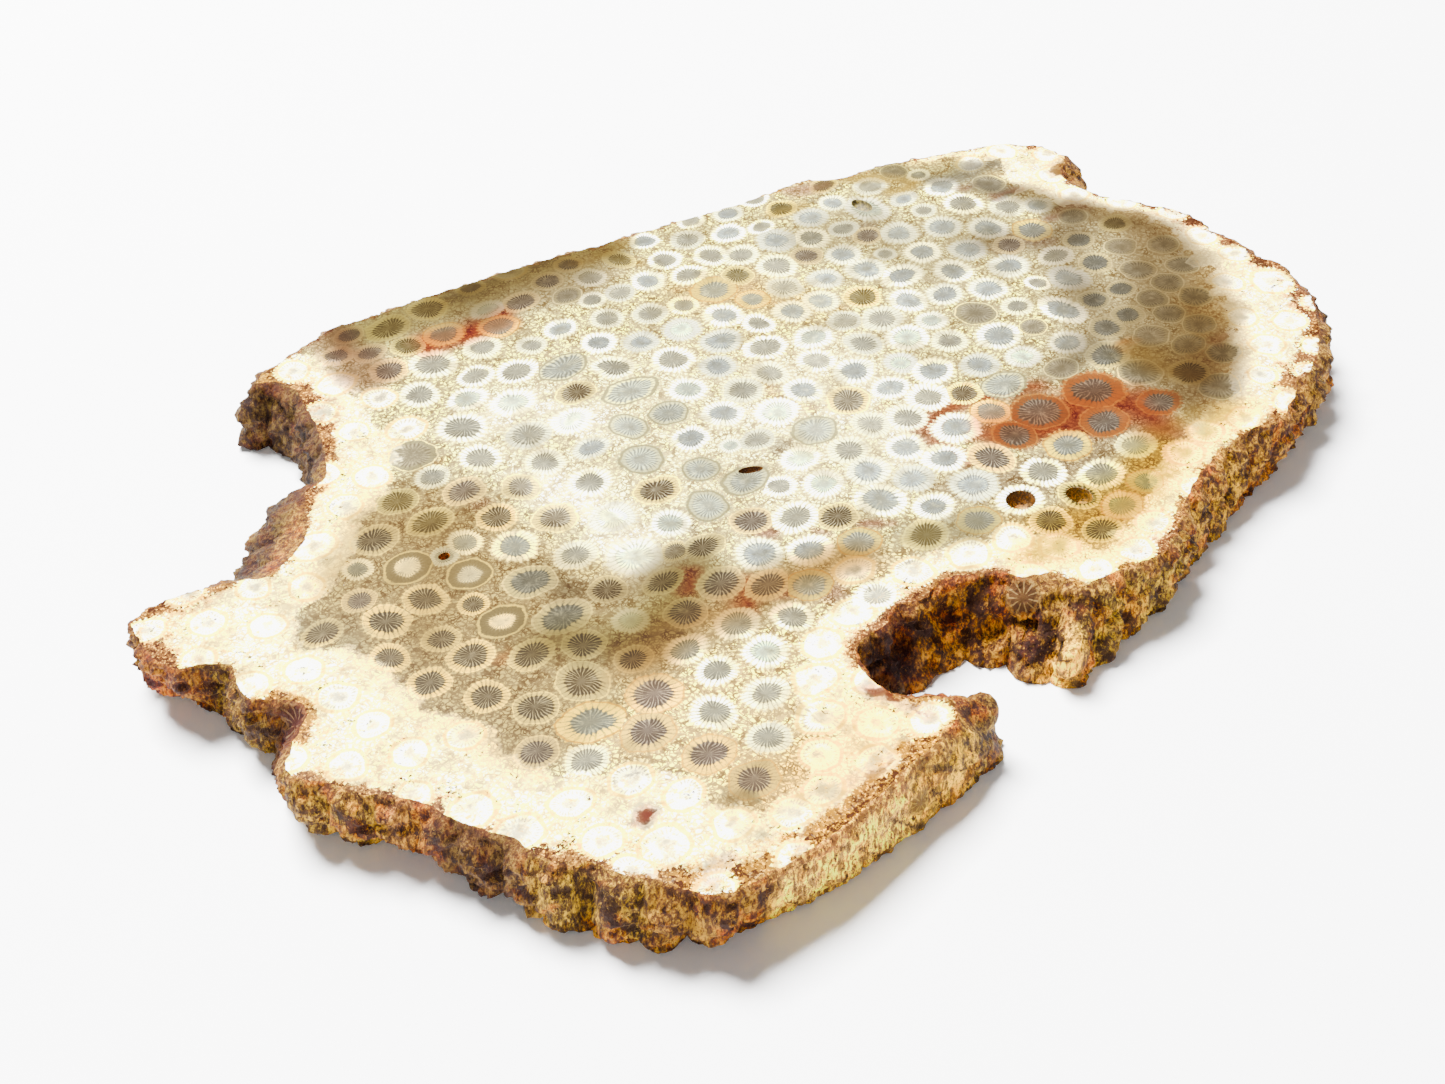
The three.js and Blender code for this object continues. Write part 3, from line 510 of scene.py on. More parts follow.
# Stains through everything, like a coloured glass.
TINTS = (
    Wash((238, 235, 228), ((38, 24), (48, 22), (44, 6), (56, 8)), 5, 8),
    Wash((188, 172, 146), ((72, -22), (74.5, -12), (73, -4), (70, 3), (70, 10)), 2, 5, 0.9),
    Wash((240, 226, 194), ((-66, -27), (-67, 8), (-56, 18), (-44, 24), (-37, 16), (-38, 0), (-34, -13),
        (-28, -17), (-38, -24), (-56, -29)), 1, 5, 0.45, True),
    Wash((238, 232, 224), ((-16, 50), (0, 46), (12, 43)), 4, 6),
    Wash(OLIVE_TINT, ((-22, 56), (-6, 52.5), (14, 48)), 5.6, 7),
    Wash(DUN_TINT, ((-10, 54), (0, 50), (14, 47)), 3, 6),
    Wash(GREY_TINT, ((-8, 47), (6, 42)), 4, 6, 0.6),
    Wash(ROSE_TINT, ((-30, 45), (-28, 58)), 2.6, 4.5, 0.9),
    Wash(ROSE_TINT, ((-29, 53), (-26, 58)), 1.6, 3.5, 0.7),
    Wash(RUST_TINT, ((-19, 45.5), (-14, 44), (-9, 43)), 2.6, 4, 0.9),
    Wash(WARM_TINT, ((14, 28), (20, 22), (24, 14)), 4, 8, 0.4),
    Wash(OLIVE_TINT, ((60, 30.5), (64, 25.5), (69, 21.5)), 1.6, 4, 0.5),
    Wash(GREY_TINT, ((52, -14), (60, -6), (70, -2)), 2.6, 8),
    Wash(SMOKE_TINT, ((42, -40), (46, -36), (54, -37), (60, -34), (50, -44), (42, -45)), 0, 6, 0.6, True),
    Wash(SMOKE_TINT, ((44, -28), (50, -22), (58, -18), (64, -12), (71, -4), (76, -6), (78, -14), (72, -22),
        (71, -27), (66, -32), (61, -36), (56, -41), (50, -44), (44, -46), (38, -45),
        (40, -36)), -1.5, 9, 1, True),
    Wash(DUN_TINT, ((46, -30), (50, -36), (58, -32), (66, -26)), 3, 6, 0.9),
    Wash(GREY_TINT, ((36, -24), (42, -23), (50, -20), (56, -15)), 2.4, 6, 0.9),
    Wash((200, 190, 182), ((55, 4), (60, -1), (66, -3)), 2.4, 5, 0.7),
    Wash((226, 212, 186), ((48, -39), (56, -37), (62, -32)), 3, 5, 0.9),
    Wash(RUST_TINT, ((20, -26), (27, -31), (34, -31), (38, -36), (34, -41)), 3, 5, 0.65),
    Wash(GOLDEN_TINT, ((8, -44), (14, -46), (22, -45.5), (30, -44)), 2.4, 5, 0.8),
    Wash(GOLDEN_TINT, ((2, -46), (10, -50), (20, -50), (32, -47.5), (44, -47)), 2, 5, 0.6),
    Wash(OLIVE_TINT, ((-49, -14), (-44, -19), (-37, -20), (-28, -17)), 3.4, 6.5),
    Wash(GREY_TINT, ((-42, -8), (-38, -14), (-26, -15)), 1.6, 5, 0.8),
    Wash(DUN_TINT, ((-60, 14), (-50, 20), (-44, 12), (-52, 4), (-60, -4)), 2.4, 8, 0.7),
    Wash(HONEY_TINT, ((-44, -24), (-34, -24.4), (-24, -27), (-14, -30)), 3, 6),
    Wash(WARM_TINT, ((-50, -48), (-40, -52), (-34, -50)), 4, 8, 0.6),
)

# Where dirt from the rim lies on the polished face: points along the edge, reach, softness and strength.
EDGE_DIRT = (
    (((-62, -58), (-70, -46)), 7.0, 5, 1.0),
    (((-60, -58), (-22, -60)), 5.6, 4.5, 0.95),
    (((-26, -54), (-25, -42), (-10, -40), (-4, -46), (0, -54)), 2.5, 4, 0.75),
    (((2, -58), (24, -56), (52, -52)), 3.0, 4, 0.72),
    (((56, -51), (76, -40)), 5.0, 5, 1.0),
    (((84, 14), (90, 8)), 4.0, 3, 1.0),
    (((72, -44), (80, -30), (83, -14), (88, 8)), 5.0, 4, 1.0),
    (((-71, -44), (-77, -22), (-82, -12)), 3.0, 5, 0.7),
    (((-80, -5), (-77, -1), (-80, 4)), 3.0, 4, 0.9),
    (((-83, 12), (-84, 23), (-66, 27)), 4.4, 4, 0.9),
    (((-64, 29), (-46, 38), (-41, 48), (-42, 58)), 6.0, 4.5, 0.95),
)

# Where the bleached margin ends and the agate begins.
AGATE_OUTLINE = (
    (-32, 62), (-32, 50), (-34, 42), (-36, 34), (-37, 30), (-41, 25), (-50, 21), (-57, 15), (-66, 11),
    (-69.5, 7), (-66, 2), (-66, -12), (-64, -20), (-65, -27), (-62, -32), (-60, -35), (-55, -40),
    (-54.5, -47), (-52, -51), (-45, -51), (-39, -50), (-35, -43), (-33, -38), (-24, -35), (-6, -36),
    (0, -39.5), (6, -46), (9, -51.5), (20, -50.5), (28, -46.4), (38, -45.2), (46, -45.4), (50, -43),
    (55, -40), (62, -35), (66, -30), (70, -27), (71, -21), (73.5, -17), (77.5, -13), (76, -6), (73, 0),
    (71, 5), (71, 12), (75, 18), (71, 23), (65, 28.4), (60, 36), (20, 60),
)

OCHRE = (184, 130, 50)
CREAM_OLIVE = (250, 224, 186)
PALE_OLIVE = (200, 170, 96)
DEEP_BROWN = (84, 50, 12)
OLIVE_GOLD = (164, 124, 40)
BURNT_ORANGE = (190, 106, 26)
RED_BROWN = (124, 54, 16)
TAN_ROSE = (204, 148, 100)

CRUSTS = (
    Wash(CREAM_OLIVE, ((-34, -60), (-44, -60.5), (-57, -57.4)), 2.4, 2.6),
    Wash((222, 190, 124), ((-22, -60), (-34, -60)), 2.4, 2.6, 0.95),
    Wash(OCHRE, ((-60, -57.4), (-65, -52)), 2.6, 3),
    Wash(PALE_OLIVE, ((-67, -47.5), (-72, -39.5)), 2.6, 2.6, 0.8),
    Wash((128, 84, 32), ((-73.5, -34), (-75.5, -26)), 2.6, 3, 0.9),
    Wash(TAN_ROSE, ((-76, -24), (-78, -19)), 2.2, 3, 0.8),
    Wash(PALE_OLIVE, ((-80, -17), (-83, -9)), 2.6, 3, 0.7),
    Wash(RED_BROWN, ((-79.5, -4.5), (-77, -1), (-79, 1.6)), 2, 2, 0.95),
    Wash(OLIVE_GOLD, ((-79, 5), (-79, 14)), 2.5, 3),
    Wash(BURNT_ORANGE, ((-82.6, 15), (-84, 22)), 1.5, 3, 0.8),
    Wash(OCHRE, ((-80, 27), (-70, 26)), 2, 4),
    Wash(DEEP_BROWN, ((-66, 26), (-60, 31)), 3, 4, 0.8),
    Wash(OLIVE_GOLD, ((-60, 30), (-52, 35), (-48, 36)), 2.4, 3, 0.9),
    Wash((94, 60, 4), ((-63, 29), (-52, 34.5)), 3, 3, 0.95),
    Wash(DEEP_BROWN, ((-46, 38), (-41, 46)), 3, 3, 0.85),
    Wash((108, 70, 12), ((-41, 47), (-42, 54), (-43, 58)), 3, 3, 0.95),
    Wash(GREY_HAZE, ((-30, 60), (10, 50), (50, 38)), 3, 5, 0.8),
    Wash(OCHRE, ((56, 34), (78, 22)), 2.5, 4, 0.7),
    Wash((182, 126, 58), ((88, 14), (85, 5), (80, 2)), 2.5, 3.5, 0.9),
    Wash((176, 124, 84), ((80, -4), (82, -14), (80, -26)), 2, 4, 0.8),
    Wash((176, 130, 70), ((78, -32), (74, -41)), 2.5, 4),
    Wash((190, 154, 92), ((70, -45), (60, -50)), 2.5, 4, 0.8),
    Wash((208, 158, 88), ((54, -52), (44, -53)), 2.5, 4, 0.9),
    Wash((210, 168, 90), ((36, -53), (24, -56)), 2.5, 4, 0.9),
    Wash(PALE_OLIVE, ((18, -57.5), (9, -57.5)), 2.4, 3, 0.9),
    Wash((255, 214, 120), ((-4, -57), (-9, -56)), 2.4, 3, 0.95),
    Wash((206, 176, 104), ((6, -57), (0, -57)), 2.4, 3, 0.9),
    Wash((196, 150, 76), ((2, -53), (-3, -49)), 2, 3, 0.9),
    Wash((212, 148, 74), ((-5, -47), (-9, -43.4), (-16, -42), (-19, -42.4)), 2.6, 3, 0.95),
    Wash((140, 72, 22), ((-18, -42), (-23, -43)), 2, 3, 0.9),
    Wash(BURNT_ORANGE, ((-26, -43), (-26.6, -48), (-25, -53)), 1.6, 2.2, 0.95),
    Wash(DEEP_BROWN, ((-24, -44.4), (-21, -44.6)), 1.2, 2, 0.9),
    Wash((176, 136, 68), ((-18, -57), (-22, -59)), 2.4, 2.4, 0.9),
    Wash((236, 196, 134), ((-2.4, -48.6), (-2.3, -48.7)), 0.5, 0.5, 0.8),
    Wash((226, 184, 120), ((-6.4, -45.6), (-6.3, -45.7)), 0.4, 0.5, 0.8),
    Wash((214, 168, 104), ((-10.2, -43.4), (-10.1, -43.4)), 0.4, 0.5, 0.75),
    Wash((206, 158, 96), ((-14.4, -42.2), (-14.3, -42.2)), 0.4, 0.5, 0.75),
    Wash((200, 150, 90), ((-18, -42), (-17.9, -42)), 0.4, 0.5, 0.7),
    Wash((208, 168, 130), ((9.8, -38.1), (9.9, -38)), 2, 1.2),
    Wash((220, 182, 74), ((15.6, -43), (15.7, -42.9)), 2, 1.2),
    Wash((250, 190, 90), ((-47.5, 7.6), (-47.4, 7.6)), 1.4, 1),
    Wash((214, 220, 220), ((50.4, 25.1), (50.5, 25.2)), 2.2, 1),
)


# ---- Numbers ----


def seen(*colour: float) -> tuple[float, ...]:
    """A colour from 0 to 255 as it should look, as shares from 0 to 1."""
    return tuple(value / 255 for value in colour)


def ease(value: np.ndarray) -> np.ndarray:
    """The smooth step of a value that runs from 0 to 1."""
    value = np.clip(value, 0, 1)
    return value * value * (3 - 2 * value)


def scatter(a: np.ndarray, b: float) -> np.ndarray:
    """A repeatable number from 0 to 1 for the pair a, b."""
    value = np.sin(a * 12.9898 + b * 78.233) * 43758.5453
    return value - np.floor(value)


def smooth_scatter(place: np.ndarray, row: float) -> np.ndarray:
    """A repeatable smooth number from -1 to 1 along place, in the given row."""
    cell = np.floor(place)
    return 2 * (scatter(cell, row) + (scatter(cell + 1, row) - scatter(cell, row)) * ease(place - cell)) - 1


def cloud(points: np.ndarray, size: float, seed: float = 0.0) -> np.ndarray:
    """Smooth noise from about -1 to 1 at each point.

    Args:
        points: rows of two or three coordinates, in millimetres.
        size: width of one swelling of the noise.
        seed: shifts the noise to another place.

    Returns:
        One value for each point.
    """
    spread = np.zeros((len(points), 3))
    spread[:, : points.shape[1]] = points / size
    spread += seed * 17.31
    return np.array([noise.noise(Vector(p)) for p in spread])


def closed_curve(points: np.ndarray, place: np.ndarray) -> np.ndarray:
    """A smooth closed curve through points, with centripetal spacing.

    Args:
        points: the points that the curve goes through.
        place: where to read it, as shares of the way round.

    Returns:
        One point for each place.
    """
    count = len(points)
    at = (place % 1.0) * count
    first = np.floor(at).astype(int)
    t = (at - first)[:, None]
    before, start, end, after = (points[(first + k) % count] for k in (-1, 0, 1, 2))
    chain = (before, start, end, after)
    gaps = [np.sqrt(np.linalg.norm(b - a, axis=1))[:, None] for a, b in zip(chain, chain[1:])]
    slopes = [(b - a) / gap for a, b, gap in zip(chain, chain[1:], gaps)]
    leave = (slopes[0] - (end - before) / (gaps[0] + gaps[1]) + slopes[1]) * gaps[1]
    reach = (slopes[1] - (after - start) / (gaps[1] + gaps[2]) + slopes[2]) * gaps[1]
    square = -3 * start + 3 * end - 2 * leave - reach
    cube = 2 * start - 2 * end + leave + reach
    return start + leave * t + square * t**2 + cube * t**3


def inside(points: np.ndarray, outline: np.ndarray) -> np.ndarray:
    """Tells which points lie inside a closed outline.

    Args:
        points: rows of x, y.
        outline: corners of the outline.

    Returns:
        True for each point inside.
    """
    result = np.zeros(len(points), bool)
    after = np.roll(outline, -1, axis=0)
    for (x0, y0), (x1, y1) in zip(outline, after):
        if y0 == y1:
            continue
        spans = (y0 > points[:, 1]) != (y1 > points[:, 1])
        cut = x0 + (points[:, 1] - y0) * (x1 - x0) / (y1 - y0)
        result ^= spans & (points[:, 0] < cut)
    return result


def distance_to_line(points: np.ndarray, line: np.ndarray, closed: bool = False) -> np.ndarray:
    """How far each point is from a chain of straight pieces.

    Args:
        points: rows of x, y.
        line: corners of the chain.
        closed: whether the last corner joins the first.

    Returns:
        One distance for each point.
    """
    starts, ends = (line, np.roll(line, -1, axis=0)) if closed else (line[:-1], line[1:])
    best = np.full(len(points), 1e9)
    for a, b in zip(starts, ends):
        run = b - a
        along = np.clip(((points - a) @ run) / max(run @ run, 1e-9), 0, 1)
        gap = points - a - along[:, None] * run
        best = np.minimum(best, np.hypot(gap[:, 0], gap[:, 1]))
    return best


def soft_stain(
    spots: np.ndarray, points: Line, reach: float, soft: float, strength: float, filled: bool = False
) -> np.ndarray:
    """How strongly a stain with soft edges lies on each spot.

    Args:
        spots: rows of x, y.
        points: the line that the stain follows, or the outline that it fills.
        reach: how far it goes beyond the points at full strength.
        soft: the width over which it fades.
        strength: its amount where it is strongest, from 0 to 1.
        filled: whether the points are an outline.

    Returns:
        One amount for each spot, from 0 to 1.
    """
    line = np.array(points, float)
    spread = reach + soft
    near = ((spots > line.min(0) - spread) & (spots < line.max(0) + spread)).all(1)
    close = spots[near]
    far = distance_to_line(close, line, filled)
    if filled:
        far = np.where(inside(close, line), -far, far)
    amount = np.zeros(len(spots))
    amount[near] = strength * ease(0.5 + (reach - far) / soft)
    return amount


def turn_back(degrees: float) -> np.ndarray:
    """The matrix that undoes a turn in the plan."""
    angle = math.radians(degrees)
    return np.array([[math.cos(angle), math.sin(angle)], [-math.sin(angle), math.cos(angle)]])


def add_object(name: str, data: bpy.types.ID) -> bpy.types.Object:
    """Makes an object of a mesh, a light or a camera, and links it into the scene."""
    made = bpy.data.objects.new(name, data)
    bpy.context.scene.collection.objects.link(made)
    return made


# ---- The corallites ----


@dataclass
class Corallite:
    """One corallite: where its ring lies and how it looks."""

    at: np.ndarray
    radii: np.ndarray
    turn: float
    kind: Core
    seed: float


@dataclass
class Colony:
    """All corallites of the slice, listed one by one in the agate and grown into the rest.

    Grown corallites start at tries random places, at least closest times spacing apart, and are
    then pushed further apart in rounds, by a share of what they lack. Their rings are about
    plain_radius wide. A ring from the table is drawn spread times wider, because its edge is
    ragged. Corallites up to touching apart may share a border; up to rivals apart they can cut it
    off, and it is looked for up to half_border either way. All lengths are in millimetres.
    """

    spacing: float = 6.6
    closest: float = 0.86
    tries: int = 9000
    rounds: int = 60
    push: float = 0.22
    plain_radius: float = 2.65
    spread: float = 1.16
    touching: float = 16.0
    rivals: float = 22.0
    half_border: float = 9.0
    seed: int = 7
    corallites: list[Corallite] = field(default_factory=list)

    def settle(self, outline: np.ndarray) -> None:
        """Places every corallite inside an outline.

        Args:
            outline: the edge of the slab, as rows of x, y.
        """
        random = np.random.default_rng(self.seed)
        for kind, rows in CORALLITES.items():
            for x, y, wide, high, *turn in rows:
                radii = np.array([wide, high]) * self.spread
                self.corallites.append(Corallite(np.array([x, y]), radii, sum(turn), kind, random.random()))
        placed = [c.at for c in self.corallites]
        fixed = len(placed)
        tries = random.uniform(outline.min(0), outline.max(0), (self.tries, 2))
        for point in tries[inside(tries, outline)]:
            if np.min(np.linalg.norm(np.array(placed) - point, axis=1)) > self.spacing * self.closest:
                placed.append(point)
        spots = np.array(placed)
        for _ in range(self.rounds):
            gap = spots[:, None] - spots[None]
            far = np.linalg.norm(gap, axis=2) + np.eye(len(spots)) * self.spacing
            lack = np.clip(self.spacing - far, 0, None)
            move = (gap / far[:, :, None] * lack[:, :, None]).sum(1) * self.push
            spots[fixed:] += move[fixed:]
        for spot in spots[fixed:]:
            size = random.uniform(0.9, 1.08)
            squash = random.uniform(-0.09, 0.09)
            radii = self.plain_radius * size * np.array([1 + squash, 1 - squash])
            turn = random.uniform(0, 180)
            self.corallites.append(Corallite(spot, radii, turn, Core.GHOST, random.random()))

    def middles(self) -> tuple[np.ndarray, np.ndarray]:
        """The centres and the mean radii of all corallites."""
        return np.array([c.at for c in self.corallites]), np.array([c.radii.mean() for c in self.corallites])

    def nearest(self, points: np.ndarray) -> np.ndarray:
        """The index of the corallite that each point belongs to."""
        best = np.full(len(points), np.inf)
        owner = np.zeros(len(points), int)
        for k, (centre, size) in enumerate(zip(*self.middles())):
            power = ((points - centre) ** 2).sum(1) - size**2
            closer = power < best
            best[closer] = power[closer]
            owner[closer] = k
        return owner

    def borders(self, outline: np.ndarray, step: float, margin: float) -> np.ndarray:
        """Points along the borders between neighbouring corallites.

        Args:
            outline: the edge of the slab.
            step: distance between points.
            margin: how far the points stay from the edge.

        Returns:
            Rows of x, y.
        """
        centres, sizes = self.middles()
        order = np.arange(len(centres))
        found: list[np.ndarray] = []
        for i in order:
            far = np.linalg.norm(centres - centres[i], axis=1)
            for j in np.nonzero((far < self.touching) & (order > i))[0]:
                across = centres[j] - centres[i]
                share = 0.5 + (sizes[i] ** 2 - sizes[j] ** 2) / (2 * (across @ across))
                side = np.array([-across[1], across[0]]) / far[j]
                walk = np.arange(-self.half_border, self.half_border, step)[:, None]
                line = centres[i] + share * across + walk * side
                power = ((line - centres[i]) ** 2).sum(1) - sizes[i] ** 2
                near = np.nonzero((far < self.rivals) & (order != i) & (order != j))[0]
                others = ((line[:, None] - centres[near]) ** 2).sum(2) - sizes[near] ** 2
                found.append(line[(others > power[:, None]).all(1)])
        points = np.concatenate(found)
        keep = inside(points, outline) & (distance_to_line(points, outline, True) > margin)
        return points[keep]


# ---- The slab ----


class Finish(Enum):
    """Material slots of the slice, by number."""

    FACE = 0
    RIM = 1
    BASE = 2
    PIT = 3


@dataclass
class Slab:
    """The whole slice as one closed mesh: a weathered rim, a polished face, pits and a sawn base.

    Lengths are in millimetres. line_step is the distance between the lines that run down the rim,
    and levels are the heights of their points, as shares of the way down. Columns of corallites
    stand out of the rim by up to column_bulge, lumps by up to lump, and edge_wear rounds its
    edges. The flat faces have points border_step apart on the borders of the corallites and
    face_step apart between them, all of them at least margin from the edge, and are sifted in
    blocks. pit_rings are depth and width of the rings of a pit, as shares. Caves and knobs move
    only points within carve_reach, and play is how far the mesh stays inside the solid's box.
    """

    line_step: float = 0.36
    face_step: float = 1.25
    border_step: float = 0.62
    margin: float = 0.5
    column_pitch: float = 5.6
    column_bulge: float = 1.5
    lump: float = 0.7
    edge_wear: float = 0.45
    levels: tuple[float, ...] = (
        0, 0.012, 0.03, 0.06, 0.1, 0.145, 0.19, 0.235, 0.28, 0.325, 0.37, 0.415, 0.46, 0.505,
        0.55, 0.595, 0.64, 0.685, 0.73, 0.775, 0.82, 0.865, 0.905, 0.94, 0.97, 0.99, 1,
    )
    pit_sides: int = 26
    pit_rings: Line = ((0.05, 0.97), (0.3, 0.93), (0.6, 0.84), (0.85, 0.6), (1.0, 0.25))
    play: float = 0.02
    block: int = 500
    carve_reach: float = 9.0
    colony: Colony = field(default_factory=Colony)

    def _middle(self, place: np.ndarray) -> np.ndarray:
        """The line halfway between the rim's top and its foot, at shares of the way round."""
        return (closed_curve(STATIONS[:, :2], place) + closed_curve(STATIONS[:, 2:4], place)) / 2

    def rim(self) -> tuple[np.ndarray, np.ndarray]:
        """Works out the rim.

        Returns:
            The rim's points as levels by lines by x, y, z, and how hollow each one is, from 0 to 1.
        """
        steps = len(STATIONS) * 40
        fine = np.arange(steps + 1) / steps
        paces = np.linalg.norm(np.diff(self._middle(fine), axis=0), axis=1)
        walked = np.concatenate([[0], np.cumsum(paces)])
        around = walked[-1]
        count = round(around / self.line_step)
        distance = np.arange(count) * around / count
        t = np.interp(distance, walked, fine)
        along = self._middle(t + 0.003) - self._middle(t - 0.003)
        along /= np.linalg.norm(along, axis=1)[:, None]
        outward = np.column_stack([-along[:, 1], along[:, 0]])
        top, foot = closed_curve(STATIONS[:, :2], t), closed_curve(STATIONS[:, 2:4], t)
        bellies = np.append(STATIONS[:, 4], STATIONS[0, 4])
        belly = np.interp(t * len(STATIONS), np.arange(len(STATIONS) + 1), bellies)
        stem = distance / around * round(around / self.column_pitch)
        across = np.sin(np.pi * (stem - np.floor(stem)))
        size = 0.5 + scatter(np.floor(stem), 1)
        # The near wall's left half is broken flat, so that columns and lumps hardly show there.
        broken = ease((top[:, 0] + 62) / 4) * ease((-22 - top[:, 0]) / 4) * (top[:, 1] < -54)
        rough = 1 - 0.7 * broken
        rings, hollows = [], []
        for depth in self.levels:
            plain = top + (foot - top) * depth
            height = np.full(count, THICKNESS * (1 - depth))
            swell = 4 * depth * (1 - depth)
            column = self.column_bulge * size * (across**0.55 - 0.66) * min(1, 5 * depth)
            row = np.floor(depth * 10)
            above, below = smooth_scatter(stem * 1.9, row), smooth_scatter(stem * 1.9, row + 1)
            lump = above + (below - above) * ease(np.array(depth * 10 - row))
            lump = self.lump * lump * min(1, 4 * swell)
            spot = np.column_stack([plain, height])
            flutes = cloud(np.column_stack([plain, height * 0.12]), 0.62, 3)
            crumbs = (np.abs(cloud(spot, 2.3, 5)) - 0.22) + (np.abs(cloud(spot, 1.0, 6)) - 0.22) * 1.1
            chips = np.clip(cloud(spot, 2.6, 9) - 0.12, 0, 1) * 0.9
            wear = self.edge_wear * (1 - min(1, min(depth, 1 - depth) / 0.05)) ** 2
            relief = (0.2 * flutes + crumbs) * (0.3 + 0.7 * min(1, 6 * swell))
            edge_chips = chips * (1 - min(1, depth / 0.2)) * (0.35 + 0.65 * rough)
            bulge = (column + lump) * rough + relief * (0.5 + 0.5 * rough)
            offset = belly * swell + bulge - wear - edge_chips
            place = np.column_stack([plain + outward * offset[:, None], height])
            place, carved = self._carve(place, outward)
            rings.append(place)
            # How hollow a point is, low on columns and lumps and high in caves; the rim's finish paints shade
            # with it.
            hollow = 0.42 - 0.34 * (column + lump * 0.6) - 0.55 * relief + 0.7 * np.clip(carved / 2, 0, 1)
            hollows.append(np.clip(hollow, 0, 1))
        return np.array(rings), np.array(hollows)

    def _carve(self, points: np.ndarray, outward: np.ndarray) -> tuple[np.ndarray, np.ndarray]:
        """Moves rim points in to the back of a cave, or out to the front of a knob.

        Args:
            points: rows of x, y, z.
            outward: the outward direction of each point's line.

        Returns:
            The moved points, and how far each was moved inwards.
        """
        moved = np.zeros(len(points))
        for lump, sign in [(knob, 1.0) for knob in KNOBS] + [(cave, -1.0) for cave in CAVES]:
            spin = turn_back(lump.turn)
            near = np.linalg.norm(points[:, :2] - np.array(lump.at[:2]), axis=1) < self.carve_reach
            offset = points - np.array(lump.at)
            local = np.column_stack([offset[:, :2] @ spin.T, offset[:, 2]]) / np.array(lump.radii)
            ray = np.zeros((len(points), 3))
            ray[:, :2] = (outward * sign) @ spin.T / np.array(lump.radii[:2])
            a = (ray**2).sum(1)
            b = (local * ray).sum(1)
            c = (local**2).sum(1) - 1
            root = b * b - a * c
            leaves = (-b + np.sqrt(np.clip(root, 0, None))) / a
            hit = near & (c < 0) & (root > 0) & (leaves > 0)
            step = np.where(hit, leaves, 0) * sign
            points = points.copy()
            points[:, :2] += outward * step[:, None]
            moved -= step
        return points, moved

    def build(self) -> bpy.types.Object:
        """Builds the mesh and its attributes.

        Returns:
            The finished object, not yet dressed.
        """
        rings, hollows = self.rim()
        low, high = self._room()
        rings[:, :, :2] = np.clip(rings[:, :, :2], low, high)
        top, foot = rings[0, :, :2], rings[-1, :, :2]
        self.colony.settle(top)
        levels, count = rings.shape[:2]
        bm = bmesh.new()
        bmesh.ops.create_grid(bm, x_segments=count, y_segments=levels - 1, size=1)
        across = count + 1
        verts = list(bm.verts)
        rows = [verts[level * across : (level + 1) * across] for level in range(levels)]
        for row, ring in zip(rows, rings):
            for k, vert in enumerate(row):
                vert.co = self._place(ring[k % count])
        bmesh.ops.weld_verts(bm, targetmap={row[-1]: row[0] for row in rows})
        for face in bm.faces:
            face.material_index = Finish.RIM.value
            face.smooth = True
        holes = self._fill(bm, rows[0][:count], top, THICKNESS, Finish.FACE, PITS)
        self._fill(bm, rows[-1][:count], foot, 0.0, Finish.BASE, ())
        for pit, loop in zip(PITS, holes):
            self._sink(bm, pit, loop)
        bmesh.ops.recalc_face_normals(bm, faces=bm.faces)
        bm.verts.index_update()
        bm.faces.sort(key=self._rank)
        mesh = bpy.data.meshes.new("coral_slice_visual")
        bm.to_mesh(mesh)
        bm.free()
        self._paint(mesh, rings, hollows)
        return add_object("coral_slice_visual", mesh)

    def _rank(self, face: BMFace) -> float:
        """A number from a face's vertices, so that faces are stored in the same order every time."""
        first, second, *_, last = sorted(vert.index for vert in face.verts)
        return float((first * MOST_VERTICES + second) * MOST_VERTICES + last)

    def _room(self) -> tuple[np.ndarray, np.ndarray]:
        """The plan's lowest and highest corner that keep the mesh inside the solid's box."""
        low, high = (np.array(corner[:2]) / MM + PLAN_SHIFT for corner in cad_box)
        return low + self.play, high - self.play

    def _place(self, point: np.ndarray) -> Vector:
        """A plan point in millimetres as a place in the frame, in metres."""
        return Vector(((point[0] - PLAN_SHIFT[0]) * MM, (point[1] - PLAN_SHIFT[1]) * MM, point[2] * MM))

    def _fill(
        self,
        bm: BMesh,
        edge: list[BMVert],
        outline: np.ndarray,
        height: float,
        finish: Finish,
        pits: tuple[Pit, ...],
    ) -> list[list[BMVert]]:
        """Closes one end of the rim with a flat face of small triangles.

        Args:
            bm: the mesh to add to.
            edge: the rim's vertices round this face.
            outline: the plan of those vertices.
            height: height of the face, in millimetres.
            finish: what the face is made of.
            pits: holes to leave open.

        Returns:
            The vertices round each pit.
        """
        loops = [self._pit_ring(pit, 1.0) for pit in pits]
        points = [Vector(p) for p in np.concatenate([outline, *loops, self._loose(outline, pits)])]
        count = len(outline)
        starts = [count + k * self.pit_sides for k in range(len(loops))]
        edges = [
            (start + k, start + (k + 1) % size)
            for start, size in (*((start, self.pit_sides) for start in starts), (0, count))
            for k in range(size)
        ]
        corners, _, faces, origin, _, _ = geometry.delaunay_2d_cdt(points, edges, [], 0, 1e-5, True)
        made: dict[int, BMVert] = {}
        named: dict[int, BMVert] = {}
        for index, (corner, sources) in enumerate(zip(corners, origin)):
            rim_sources = [s for s in sources if s < count]
            if rim_sources:
                made[index] = edge[rim_sources[0]]
                continue
            made[index] = bm.verts.new(self._place(np.array([corner[0], corner[1], height])))
            for source in sources:
                named[source] = made[index]
        middles = np.array([tuple(corner) for corner in corners])[np.array(faces)].mean(1)
        within = inside(middles, outline)
        for pit in pits:
            within &= np.hypot(*self._pit_local(pit, middles).T) > 0.97
        for corner_ids, keep in zip(faces, within):
            trio = [made[i] for i in corner_ids]
            if keep and len(set(trio)) == 3 and bm.faces.get(trio) is None:
                face = bm.faces.new(trio)
                face.material_index = finish.value
                face.smooth = False
        return [[named[start + k] for k in range(self.pit_sides)] for start in starts]

